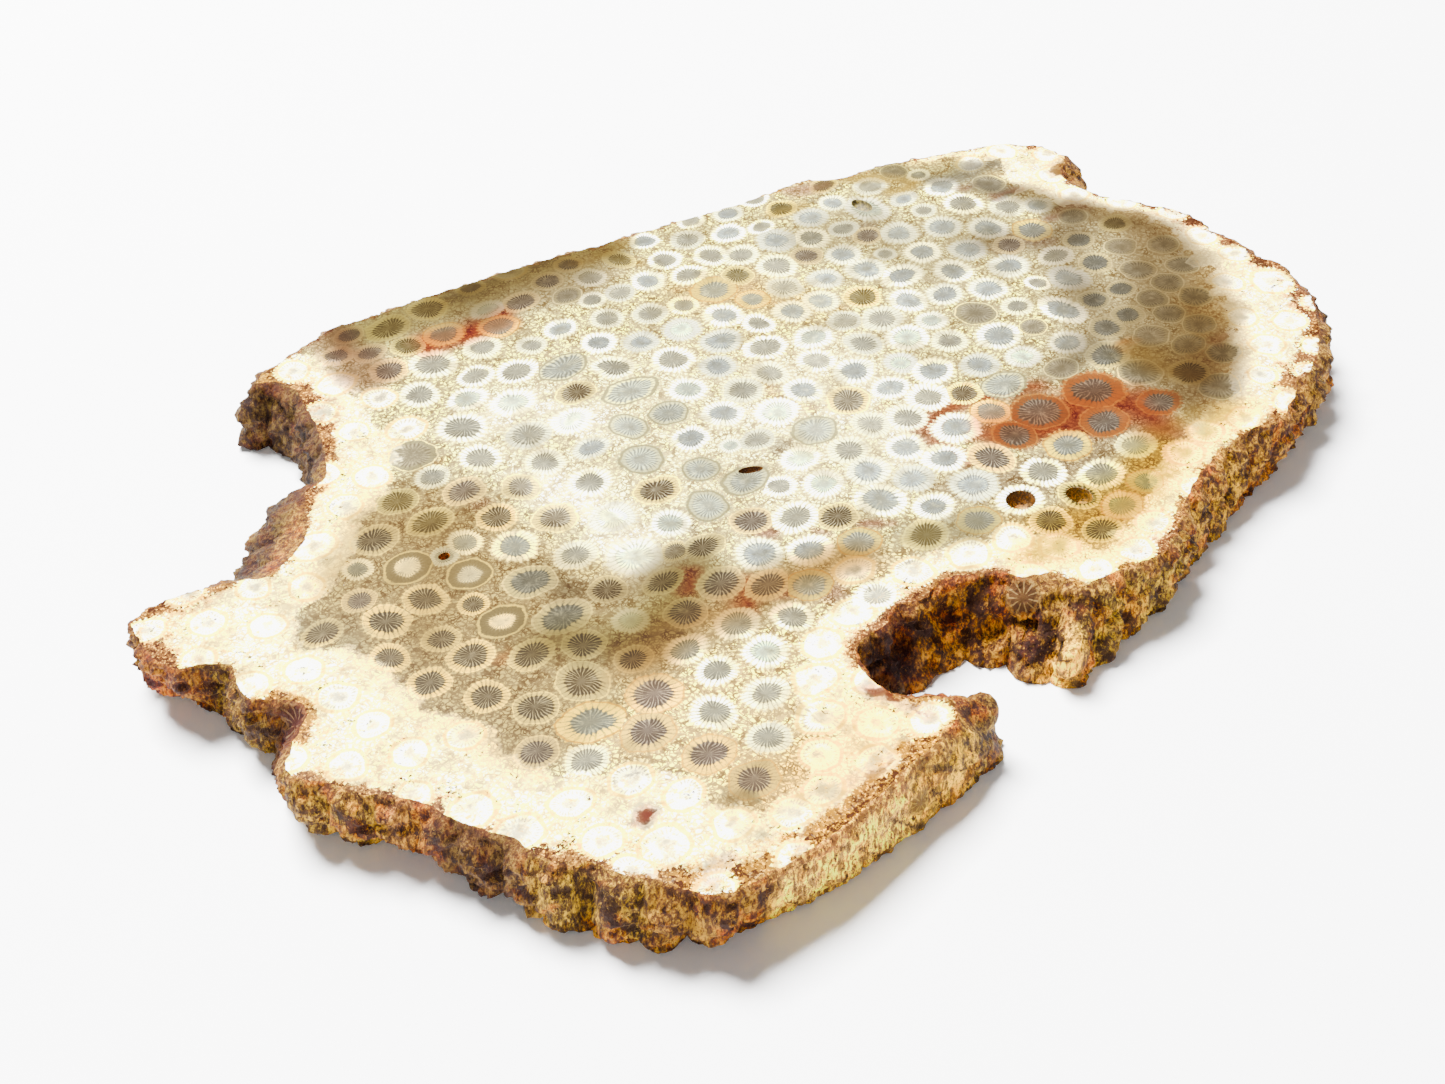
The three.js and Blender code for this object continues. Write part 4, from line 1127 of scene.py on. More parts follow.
    def _loose(self, outline: np.ndarray, pits: tuple[Pit, ...]) -> np.ndarray:
        """The points inside a flat face, clear of its pits.

        Args:
            outline: the plan of its edge.
            pits: its holes.

        Returns:
            Rows of x, y: first those on the borders of the corallites, then a grid between them.
        """
        borders = self.colony.borders(outline, self.border_step, self.margin)
        low, high = outline.min(0), outline.max(0)
        lines = (np.arange(low[axis], high[axis], self.face_step) for axis in (0, 1))
        grid = np.column_stack([values.ravel() for values in np.meshgrid(*lines)])
        grid = grid[inside(grid, outline)]
        grid = grid[distance_to_line(grid, outline, True) > self.margin]
        clear = np.ones(len(grid), bool)
        for start in range(0, len(grid), self.block):
            gap = grid[start : start + self.block][:, None] - borders[None]
            clear[start : start + self.block] = (gap**2).sum(2).min(1) > (self.face_step * 0.45) ** 2
        loose = np.concatenate([borders, grid[clear]])
        for pit in pits:
            away = np.linalg.norm(self._pit_local(pit, loose), axis=1)
            loose = loose[away > 1.0 + 0.25 / min(pit.radii)]
        return loose

    def _pit_local(self, pit: Pit, points: np.ndarray) -> np.ndarray:
        """Points as seen from a pit's centre, with its edge at distance 1."""
        return (points - np.array(pit.at)) @ turn_back(pit.turn).T / np.array(pit.radii)

    def _pit_ring(self, pit: Pit, share: float) -> np.ndarray:
        """A ragged ring of plan points round a pit, at a share of its size."""
        angle = np.arange(self.pit_sides) * 2 * np.pi / self.pit_sides
        ragged = [noise.noise(Vector((math.cos(a) * 2, math.sin(a) * 2, pit.at[0]))) for a in angle]
        reach = share * (1 + 0.07 * np.array(ragged))
        local = np.column_stack([np.cos(angle), np.sin(angle)]) * reach[:, None] * np.array(pit.radii)
        return local @ turn_back(pit.turn) + np.array(pit.at)

    def _sink(self, bm: BMesh, pit: Pit, loop: list[BMVert]) -> None:
        """Draws the wall and floor of a pit down from its edge.

        Args:
            bm: the mesh to add to.
            pit: the pit.
            loop: the vertices round its opening.
        """
        ring = loop
        for depth, share in self.pit_rings:
            edges = [bm.edges.get(pair) for pair in zip(ring, ring[1:] + ring[:1])]
            grown = bmesh.ops.extrude_edge_only(bm, edges=edges)
            fresh = {g for g in grown["geom"] if isinstance(g, BMVert)}
            for face in (g for g in grown["geom"] if isinstance(g, BMFace)):
                face.material_index = Finish.PIT.value
                face.smooth = True
            ring = [next(e.other_vert(v) for e in v.link_edges if e.other_vert(v) in fresh) for v in ring]
            for (x, y), vert in zip(self._pit_ring(pit, share), ring):
                wobble = 0.12 * pit.depth * noise.noise(Vector((x * 0.9, y * 0.9, depth * 5)))
                height = THICKNESS - pit.depth * depth + wobble * min(1, depth * 2)
                vert.co = self._place(np.array([x, y, min(height, THICKNESS - self.play)]))
        floor = bm.faces.new(ring)
        floor.material_index = Finish.PIT.value
        bmesh.ops.poke(bm, faces=[floor])

    def _paint(self, mesh: bpy.types.Mesh, rings: np.ndarray, hollows: np.ndarray) -> None:
        """Writes the attributes that the finishes read.

        Args:
            mesh: the finished mesh.
            rings: the rim's points.
            hollows: how hollow each rim point is.
        """
        spots = self._read(mesh.vertices, "co", 3).reshape(-1, 3) / MM
        plan = spots[:, :2] + PLAN_SHIFT
        self._paint_cells(mesh, plan)
        for name, values in self._stains(plan, rings[0, :, :2]).items():
            self._write(mesh, name, "POINT", values)
        self._write(mesh, "crust", "POINT", self._crust(plan, spots[:, 2], hollows))

    def _read(self, items: Collection, name: str, width: int, kind: type = float) -> np.ndarray:
        """Reads one property of many items, each width numbers wide, as one long row."""
        values = np.empty(len(items) * width, kind)
        items.foreach_get(name, values)
        return values

    def _write(self, mesh: bpy.types.Mesh, name: str, domain: str, values: np.ndarray) -> None:
        """Stores four numbers for each point or corner under a name."""
        layer = mesh.attributes.new(name, "FLOAT_COLOR", domain)
        layer.data.foreach_set("color", np.ascontiguousarray(values, np.float32).ravel())

    def _paint_cells(self, mesh: bpy.types.Mesh, plan: np.ndarray) -> None:
        """Gives every corner its place in its corallite, and that corallite's looks.

        Args:
            mesh: the finished mesh.
            plan: the plan of its vertices.
        """
        vertex_of = self._read(mesh.loops, "vertex_index", 1, int)
        centres = self._read(mesh.polygons, "center", 3).reshape(-1, 3)
        sizes = self._read(mesh.polygons, "loop_total", 1, int)
        owner = self.colony.nearest(centres[:, :2] / MM + PLAN_SHIFT)[np.repeat(np.arange(len(sizes)), sizes)]
        people = self.colony.corallites
        turn = np.radians([c.turn for c in people])[owner]
        x, y = (plan[vertex_of] - np.array([c.at for c in people])[owner]).T
        local = np.column_stack([np.cos(turn) * x + np.sin(turn) * y, -np.sin(turn) * x + np.cos(turn) * y])
        local /= np.array([c.radii for c in people])[owner]
        uv = mesh.uv_layers.new(name="cell")
        uv.data.foreach_set("uv", np.ascontiguousarray(local, np.float32).ravel())
        traits: dict[str, list[list[float]]] = {"core": [], "ring": [], "trait": [], "line": []}
        for c in people:
            look = LOOKS[c.kind]
            shade = 0.93 + 0.13 * c.seed
            pale = 1 - 0.09 * ((c.seed * 13.7) % 1) * (c.kind is not Core.GHOST)
            septa = 2 * round(11.5 + 2.5 * ((c.seed * 7.3) % 1))
            inner = look.inner + 0.07 * (((c.seed * 31.7) % 1) - 0.5)
            traits["core"].append([*(np.array(seen(*look.core)) * shade), look.septa])
            traits["ring"].append([*(np.array(seen(*look.ring)) * pale), look.band])
            traits["line"].append([*seen(*look.line), look.outline])
            traits["trait"].append([septa / MOST_SEPTA, c.seed, inner, 1.0])
        for name, values in traits.items():
            self._write(mesh, name, "CORNER", np.array(values)[owner])

    def _stains(self, plan: np.ndarray, outline: np.ndarray) -> dict[str, np.ndarray]:
        """Works out the stains of the flat faces.

        Args:
            plan: the plan of the vertices.
            outline: the edge of the polished face.

        Returns:
            By name: the colour under the corallites; colour and amount of what veils them; the
            tint that goes through all; and the masks: how bleached a place is, how near the edge,
            how much dirt lies on it, and how golden its dirt is.
        """
        # Stains are read at places that noise has pushed about, so that their edges are ragged.
        warp = np.column_stack([cloud(plan, 7, 21), cloud(plan, 7, 22)]) * 1.5
        warp += np.column_stack([cloud(plan, 2.6, 23), cloud(plan, 2.6, 24)]) * 0.7
        warped = plan + warp
        under = np.tile((*seen(*GROUND), 1.0), (len(plan), 1))
        over = np.zeros((len(plan), 4))
        tint = np.ones((len(plan), 4))
        for wash in GROUND_STAINS:
            wash.lay(under, warped)
        for wash in TINTS:
            tint[:, :3] *= 1 - (1 - np.array(seen(*wash.colour))) * wash.amount(warped)[:, None]
        for wash in VEILS + MARGIN_STAINS:
            amount = wash.amount(warped)
            total = 1 - (1 - over[:, 3]) * (1 - amount)
            share = np.where(total > 0, amount / np.maximum(total, 1e-6), 0)[:, None]
            over[:, :3] += (np.array(seen(*wash.colour)) - over[:, :3]) * share
            over[:, 3] = total

        # The bleached margin fades in over a few millimetres, in streaks at the far end.
        x, y = plan.T
        agate = np.array(AGATE_OUTLINE, float)
        far = distance_to_line(warped, agate, True)
        far = np.where(inside(warped, agate), -far, far)
        far_end = ease((x - 40) / 20)
        streaks = cloud(np.column_stack([x * 0.22, y]), 1.1, 41) * far_end
        far += 3.2 * streaks + 1.2 * cloud(plan, 1.5, 42)
        bleached = np.clip(0.5 + far / (5.0 - 2.4 * far_end), 0, 1)
        for wash in MARGIN_STAINS:
            bleached = bleached * (1 - 0.9 * wash.amount(warped))

        # Dirt creeps in from the edge; it is golden in places and pinkish in others.
        edge = np.clip(1 - distance_to_line(plan, outline[::4], True) / 9, 0, 1)
        dirt_and_shade = np.max([soft_stain(warped, *patch) for patch in EDGE_DIRT], axis=0)
        gold = 0.5 + 0.9 * cloud(plan, 12, 43) - 0.6 * ease((x - 50) / 14)
        gold += 0.9 * ease((-48 - y) / 6) * (x < 10)
        mask = np.column_stack([bleached, edge, dirt_and_shade, np.clip(gold, 0, 1)])
        return {"under": under, "over": over, "tint": tint, "mask": mask}

    def _crust(self, plan: np.ndarray, height: np.ndarray, hollows: np.ndarray) -> np.ndarray:
        """Works out the colour of the weathered rim.

        Args:
            plan: the plan of the vertices.
            height: their heights.
            hollows: how hollow each rim point is, as levels by lines.

        Returns:
            Red, green and blue, and how hollow the place is.
        """
        result = np.tile((*seen(*OCHRE), 0.5), (len(plan), 1))
        rim = hollows.size
        result[:rim, 3] = hollows.ravel()
        result[rim:, 3] = np.clip((THICKNESS - height[rim:]) / 3.0, 0, 1)
        warped = plan + np.column_stack([cloud(plan, 5, 31), cloud(plan, 5, 32)]) * 1.2
        for wash in CRUSTS:
            wash.lay(result, warped)
        return result


# ---- Node helpers ----


@dataclass
class Bench:
    """A small set of hands for building a node tree."""

    tree: Tree

    def node(self, kind: str, **settings: object) -> Node:
        """Adds a node and sets its properties."""
        made = self.tree.nodes.new(kind)
        for name, value in settings.items():
            setattr(made, name, value)
        return made

    def feed(self, socket: Socket, value: object) -> None:
        """Links a socket into an input, or sets the input to a plain value."""
        if isinstance(value, Socket):
            self.tree.links.new(value, socket)
        elif value is not None:
            if socket.type == "RGBA" and len(value) == 3:
                value = (*value, 1.0)
            socket.default_value = value

    def fed(self, kind: str, *values: object, **settings: object) -> Node:
        """Adds a node and feeds values into its first inputs."""
        made = self.node(kind, **settings)
        for socket, value in zip(made.inputs, values):
            self.feed(socket, value)
        return made

    def math(self, operation: str, *values: object) -> Socket:
        """A sum on numbers."""
        return self.fed("ShaderNodeMath", *values, operation=operation).outputs[0]

    def times(self, a: object, b: object) -> Socket:
        """One number times another."""
        return self.math("MULTIPLY", a, b)

    def minus(self, a: object, b: object) -> Socket:
        """One number less another."""
        return self.math("SUBTRACT", a, b)

    def line(self, value: object, slope: object, start: object) -> Socket:
        """A straight line of a value: start plus slope times the value."""
        return self.math("MULTIPLY_ADD", value, slope, start)

    def sway(self, value: object, by: Socket, amount: float, middle: float = 0.5) -> Socket:
        """Moves a value up and down by another, which swings about its middle."""
        return self.line(self.minus(by, middle), amount, value)

    def dot(self, row: tuple[float, ...], values: list[Socket]) -> Socket:
        """The sum of values, each times its weight in row."""
        total = self.times(values[0], row[0])
        for value, weight in zip(values[1:], row[1:]):
            total = self.line(value, weight, total)
        return total

    def step(self, value: object, low: object, high: object) -> Socket:
        """A smooth step of a value from 0 at low to 1 at high."""
        made = self.fed("ShaderNodeMapRange", value, low, high, interpolation_type="SMOOTHSTEP")
        return made.outputs["Result"]

    def vector(self, operation: str, *values: object) -> Socket:
        """A sum on vectors; LENGTH gives a number."""
        made = self.fed("ShaderNodeVectorMath", *values, operation=operation)
        return made.outputs["Value"] if operation == "LENGTH" else made.outputs["Vector"]

    def shaken(self, vector: Socket, place: Socket, size: float, amount: float) -> Socket:
        """Moves a vector about by noise whose swellings are size wide."""
        push = self.vector("SUBTRACT", self.noise(place, size, 1.0).outputs["Color"], (0.5, 0.5, 0.5))
        scaled = self.node("ShaderNodeVectorMath", operation="SCALE")
        self.feed(scaled.inputs[0], push)
        self.feed(scaled.inputs["Scale"], amount)
        return self.vector("ADD", vector, scaled.outputs["Vector"])

    def polar(self, x: Socket, y: Socket) -> tuple[Socket, Socket]:
        """How far out the point x, y lies, and at which angle."""
        flat = self.fed("ShaderNodeCombineXYZ", x, y)
        return self.vector("LENGTH", flat.outputs[0]), self.math("ARCTAN2", y, x)

    def mix(self, share: object, a: object, b: object, blend: str = "MIX") -> Socket:
        """A blend of two colours."""
        made = self.node("ShaderNodeMix", data_type="RGBA", blend_type=blend)
        for index, value in ((0, share), (6, a), (7, b)):
            self.feed(made.inputs[index], value)
        return made.outputs[2]

    def tinted(self, colour: Socket, factors: object) -> Socket:
        """A colour with its channels multiplied by factors."""
        return self.mix(1.0, colour, factors, "MULTIPLY")

    def laid(self, under: Socket, over: object, mask: Socket, strength: object) -> Socket:
        """A colour with another laid over it where a mask is 1, up to a strength."""
        return self.mix(self.times(mask, strength), under, over)

    def noise(self, place: object, size: float, detail: float = 2.0, roughness: float = 0.5) -> Node:
        """Noise whose swellings are size wide, in the unit of place."""
        made = self.fed("ShaderNodeTexNoise", place)
        made.inputs["Scale"].default_value = 1 / size
        made.inputs["Detail"].default_value = detail
        made.inputs["Roughness"].default_value = roughness
        return made

    def grain(self, place: object, size: float, detail: float = 2.0, roughness: float = 0.5) -> Socket:
        """The same noise as a number from 0 to 1."""
        return self.noise(place, size, detail, roughness).outputs["Fac"]

    def cracks(self, place: object, size: float) -> Socket:
        """Distance to the nearest border between cells about size wide."""
        made = self.fed("ShaderNodeTexVoronoi", place, feature="DISTANCE_TO_EDGE")
        made.inputs["Scale"].default_value = 1 / size
        return made.outputs["Distance"]

    def attribute(self, name: str) -> tuple[Socket, Socket]:
        """Reads the colour and the fourth number of one of the mesh's attributes."""
        made = self.node("ShaderNodeAttribute", attribute_name=name)
        return made.outputs["Color"], made.outputs["Alpha"]

    def channels(self, colour: object) -> Collection:
        """The red, green and blue of a colour."""
        return self.fed("ShaderNodeSeparateColor", colour).outputs

    def axes(self, vector: object) -> Collection:
        """The x, y and z of a vector."""
        return self.fed("ShaderNodeSeparateXYZ", vector).outputs

    def scaled(self, place: object, scale: tuple[float, float, float]) -> Socket:
        """Coordinates multiplied by a scale along each axis."""
        made = self.fed("ShaderNodeMapping", place)
        made.inputs["Scale"].default_value = scale
        return made.outputs["Vector"]

    def place(self) -> Socket:
        """Object coordinates in millimetres."""
        return self.scaled(self.node("ShaderNodeTexCoord").outputs["Object"], (1 / MM, 1 / MM, 1 / MM))

    def group(self, tree: Tree, **values: object) -> Collection:
        """Runs values through a group, by the names of its inputs."""
        made = self.node("ShaderNodeGroup", node_tree=tree)
        for title, value in values.items():
            self.feed(made.inputs[title], value)
        return made.outputs

    def bump(self, shader: Node, height: Socket, strength: float, distance: float) -> None:
        """Lets a height dent a shader's surface, up to a distance in millimetres."""
        made = self.node("ShaderNodeBump")
        made.inputs["Strength"].default_value = strength
        made.inputs["Distance"].default_value = distance * MM
        self.feed(made.inputs["Height"], height)
        self.feed(shader.inputs["Normal"], made.outputs["Normal"])


def new_material(name: str) -> tuple[Material, Bench, Node]:
    """Makes a material, and gives it with the bench for its nodes and its Principled node."""
    made = bpy.data.materials.new(name)
    made.use_nodes = True
    return made, Bench(made.node_tree), made.node_tree.nodes["Principled BSDF"]


def new_group(name: str, inputs: dict[str, str], outputs: dict[str, str]) -> tuple[Bench, dict, dict]:
    """Makes an empty shader node group.

    Args:
        name: its name.
        inputs: names of the inputs with their socket types.
        outputs: names of the outputs with their socket types.

    Returns:
        The bench for its tree, its inputs and its outputs, both by name.
    """
    tree = bpy.data.node_groups.new(name, "ShaderNodeTree")
    for way, sockets in (("INPUT", inputs), ("OUTPUT", outputs)):
        for title, kind in sockets.items():
            tree.interface.new_socket(name=title, in_out=way, socket_type=kind)
    bench = Bench(tree)
    source = bench.node("NodeGroupInput")
    sink = bench.node("NodeGroupOutput")
    return bench, {s.name: s for s in source.outputs if s.name}, {s.name: s for s in sink.inputs if s.name}


COLOUR, NUMBER, VECTOR = "NodeSocketColor", "NodeSocketFloat", "NodeSocketVector"


@dataclass(frozen=True)
class Develop:
    """The node group that turns the colour a surface should show into its base colour.

    Rendering presses highlights together and takes colour out of them, so a base colour has to
    be spread further apart than the colour that is seen. The group blends the channels, bends
    each of them, and parts them again. gammas, blend, toe, gain, shoulder and part describe that
    bend, light is how bright a white surface lies, and whitest is the palest base colour.
    """

    name: str = "Seen colour to base colour"
    light: float = STUDIO_LIGHT
    gammas: Factors = (2.059, 2.12, 2.34)
    blend: tuple[Factors, ...] = ((0.590, 0.306, 0.104), (-0.063, 1.061, 0.002), (0.078, 0.157, 0.765))
    part: tuple[Factors, ...] = ((1.819, -0.565, -0.254), (0.094, 1.092, -0.186), (-0.191, -0.148, 1.339))
    toe: float = 0.434
    gain: float = 0.553
    shoulder: float = -0.07
    whitest: float = 0.97
    darkest: float = 1e-5
    least_room: float = 1e-3
    headroom: float = 1.3

    def group(self) -> Tree:
        """Builds the group.

        Returns:
            Its node tree, with one colour in and one colour out.
        """
        bench, given, out = new_group(self.name, {"Seen": COLOUR}, {"Base": COLOUR})
        parts = bench.channels(given["Seen"])
        bent = [bench.math("POWER", channel, gamma) for channel, gamma in zip(parts, self.gammas)]
        levels = []
        for row in self.blend:
            level = bench.math("MAXIMUM", bench.dot(row, bent), self.darkest)
            room = bench.minus(self.shoulder, bench.math("LOGARITHM", level, math.e))
            raised = bench.times(bench.math("POWER", level, self.toe), self.gain / self.light)
            level = bench.math("DIVIDE", raised, bench.math("MAXIMUM", room, self.least_room))
            levels.append(bench.math("MINIMUM", level, self.whitest * self.headroom))
        whole = bench.node("ShaderNodeCombineColor")
        for socket, row in zip(whole.inputs, self.part):
            channel = bench.math("MAXIMUM", bench.dot(row, levels), 0.0)
            bench.feed(socket, bench.math("MINIMUM", channel, self.whitest))
        bench.feed(out["Base"], whole.outputs[0])
        return bench.tree


@dataclass(frozen=True)
class CorallitePattern:
    """The node group that draws rings, septa and the grain between corallites.

    wobble is how far the rings stray from plain ellipses and granule how wide a grain between
    them is, both in millimetres. The other fields are colours, and factors on a colour.
    """

    name: str = "Corallites"
    wobble: float = 0.2
    granule: float = 0.72
    slit: Factors = (0.72, 0.68, 0.62)
    ring_shade: Factors = (0.86, 0.82, 0.72)
    deep_grain: Factors = (0.64, 0.50, 0.36)
    light_grain: Factors = (0.80, 0.72, 0.60)
    septum: Tone = (250, 246, 232)
    granules: Tone = (255, 254, 240)

    def group(self) -> Tree:
        """Builds the group.

        Returns:
            Its node tree. Outputs: Color, Structure (1 on rings), Disc (1 on whole corallites)
            and Line (1 on the line round a ring).
        """
        colours = ("Core", "Ring", "Line", "Trait", "Ground")
        bench, given, out = new_group(
            self.name,
            {"Cell": VECTOR, "Place": VECTOR, "Septa": NUMBER, "Band": NUMBER, "Outline": NUMBER}
            | dict.fromkeys(colours, COLOUR),
            {"Color": COLOUR, "Structure": NUMBER, "Disc": NUMBER, "Line": NUMBER},
        )
        place, ground = given["Place"], given["Ground"]
        crowd, seed, inner = bench.channels(given["Trait"])
        count = bench.math("ROUND", bench.times(crowd, MOST_SEPTA))

        # Where a point lies in its corallite, and the teeth that every edge in it shares.
        x, y, _ = bench.axes(bench.shaken(given["Cell"], place, 2.6, self.wobble * 2))
        radius, angle = bench.polar(x, y)
        grit = bench.minus(bench.grain(place, 0.3, 2.0, 0.6), 0.5)
        spread = bench.times(bench.minus(bench.grain(place, 0.7, 1.0), 0.5), 3.2)
        wave = bench.math("ADD", bench.line(seed, 40.0, bench.times(angle, count)), spread)
        tooth = bench.line(bench.math("COSINE", wave), 0.5, 0.5)
        minor = bench.line(bench.math("COSINE", bench.times(wave, 0.5)), 0.5, 0.5)
        rough_in = bench.line(grit, 0.16, bench.sway(radius, tooth, 0.07))
        rough_out = bench.line(grit, 0.5, bench.sway(radius, tooth, -0.12))
        outside_core = bench.step(rough_in, bench.minus(inner, 0.04), bench.math("ADD", inner, 0.05))
        inside_ring = bench.step(rough_out, 1.1, 0.9)
        ring_mask = bench.times(outside_core, inside_ring)

        # The ring: paler towards its outside, cut by the septa, and speckled.
        faded = bench.mix(0.55, given["Ring"], ground)
        ring = bench.laid(given["Ring"], faded, bench.step(rough_out, 0.9, 1.08), 0.55)
        across = bench.minus(bench.line(grit, 0.3, radius), inner)
        cut = bench.times(bench.step(tooth, 0.42, 0.05), bench.step(across, 0.22, 0.02))
        shaded = bench.tinted(ring, self.ring_shade)
        ring = bench.laid(ring, given["Core"], cut, 0.55)
        ring = bench.laid(ring, shaded, bench.step(tooth, 0.3, 0.0), 0.28)
        ring = bench.laid(ring, shaded, bench.step(grit, -0.06, -0.22), 0.6)

        colour = bench.mix(ring_mask, self._between(bench, place, ground, radius, tooth, grit), ring)
        core = self._core(bench, given, radius, tooth, minor, grit)
        colour = bench.mix(bench.minus(1.0, outside_core), colour, core)
        band = given["Band"]
        middle = bench.minus(0.98, band)
        far = bench.math("ABSOLUTE", bench.minus(bench.line(grit, 0.1, radius), middle))
        line = bench.step(far, bench.line(band, 1.1, 0.02), bench.times(band, 0.5))
        line = bench.times(line, given["Outline"])
        bench.feed(out["Color"], bench.mix(line, colour, given["Line"]))
        bench.feed(out["Structure"], ring_mask)
        bench.feed(out["Disc"], inside_ring)
        bench.feed(out["Line"], line)
        return bench.tree

    def _core(
        self, bench: Bench, given: dict[str, Socket], radius: Socket, tooth: Socket, minor: Socket,
        grit: Socket,
    ) -> Socket:
        """Draws a core: dark slits between pale septa that reach for the centre.

        Args:
            bench: the bench of the group.
            given: the group's inputs.
            radius: distance from the centre, 1 at the ring's outside.
            tooth: 1 along every septum.
            minor: 1 along every second septum.
            grit: fine noise about 0.

        Returns:
            The core's colour.
        """
        own, strength = given["Core"], given["Septa"]
        dark = bench.tinted(own, self.slit)
        pale = bench.mix(0.68, own, seen(*self.septum))
        reach = bench.line(grit, 0.5, radius)
        begin = bench.line(strength, -0.34, 0.58)
        deep = bench.step(reach, begin, bench.math("ADD", begin, 0.12))
        slit = bench.times(bench.step(tooth, 0.5, 0.1), deep)
        colour = bench.laid(own, dark, slit, bench.line(strength, 0.42, 0.28))
        late = bench.math("MAXIMUM", bench.step(minor, 0.4, 0.7), bench.step(reach, 0.36, 0.48))
        septum = bench.times(bench.step(tooth, 0.66, 0.92), late)
        colour = bench.laid(colour, pale, bench.times(septum, bench.step(reach, 0.08, 0.2)), strength)
        heart = bench.times(bench.step(reach, 0.24, 0.06), bench.times(strength, 0.45))
        colour = bench.mix(heart, colour, pale)
        colour = bench.laid(colour, dark, bench.step(reach, 0.5, 0.1), bench.line(strength, -0.5, 0.62))
        mist = bench.grain(given["Place"], 1.5, 3.0, 0.65)
        colour = bench.laid(colour, pale, bench.step(mist, 0.52, 0.72), 0.6)
        colour = bench.laid(colour, dark, bench.step(mist, 0.48, 0.3), 0.35)
        return bench.laid(colour, pale, bench.step(grit, 0.04, 0.2), 0.3)

    def _between(
        self, bench: Bench, place: Socket, ground: Socket, radius: Socket, tooth: Socket, grit: Socket
    ) -> Socket:
        """Draws the grainy tissue between corallites.

        Args:
            bench: the bench of the group.
            place: object coordinates in millimetres.
            ground: its own colour.
            radius: distance from the nearest centre, 1 at the ring's outside.
            tooth: 1 along every septum.
            grit: fine noise about 0.

        Returns:
            The colour.
        """
        warped = bench.shaken(place, place, 0.9, 0.8)
        gap = bench.step(bench.cracks(warped, self.granule), 0.15, 0.04)
        vein = bench.grain(warped, 0.95, 1.0)
        worm = bench.step(bench.math("ABSOLUTE", bench.minus(vein, 0.5)), 0.07, 0.025)
        mark = bench.math("MAXIMUM", bench.times(gap, 0.7), worm)
        rib = bench.times(bench.step(tooth, 0.5, 0.15), bench.step(radius, 1.34, 1.16))
        patch = bench.grain(place, 2.1, 1.0)
        rib = bench.times(rib, bench.times(bench.step(patch, 0.42, 0.6), 0.8))
        mark = bench.math("MAXIMUM", mark, rib)
        _, green, blue = bench.channels(ground)
        lightness = bench.math("POWER", green, 2.5)
        pale = bench.mix(bench.line(lightness, 0.58, 0.18), ground, seen(*self.granules))
        dark = bench.tinted(ground, bench.mix(lightness, self.deep_grain, self.light_grain))
        amount = bench.times(mark, bench.line(bench.step(patch, 0.62, 0.34), 0.5, 0.5))
        chalky = bench.step(blue, 0.78, 0.9)
        colour = bench.laid(pale, dark, amount, bench.line(chalky, -0.35, 1.0))
        return bench.laid(colour, pale, bench.step(grit, 0.05, 0.2), 0.4)


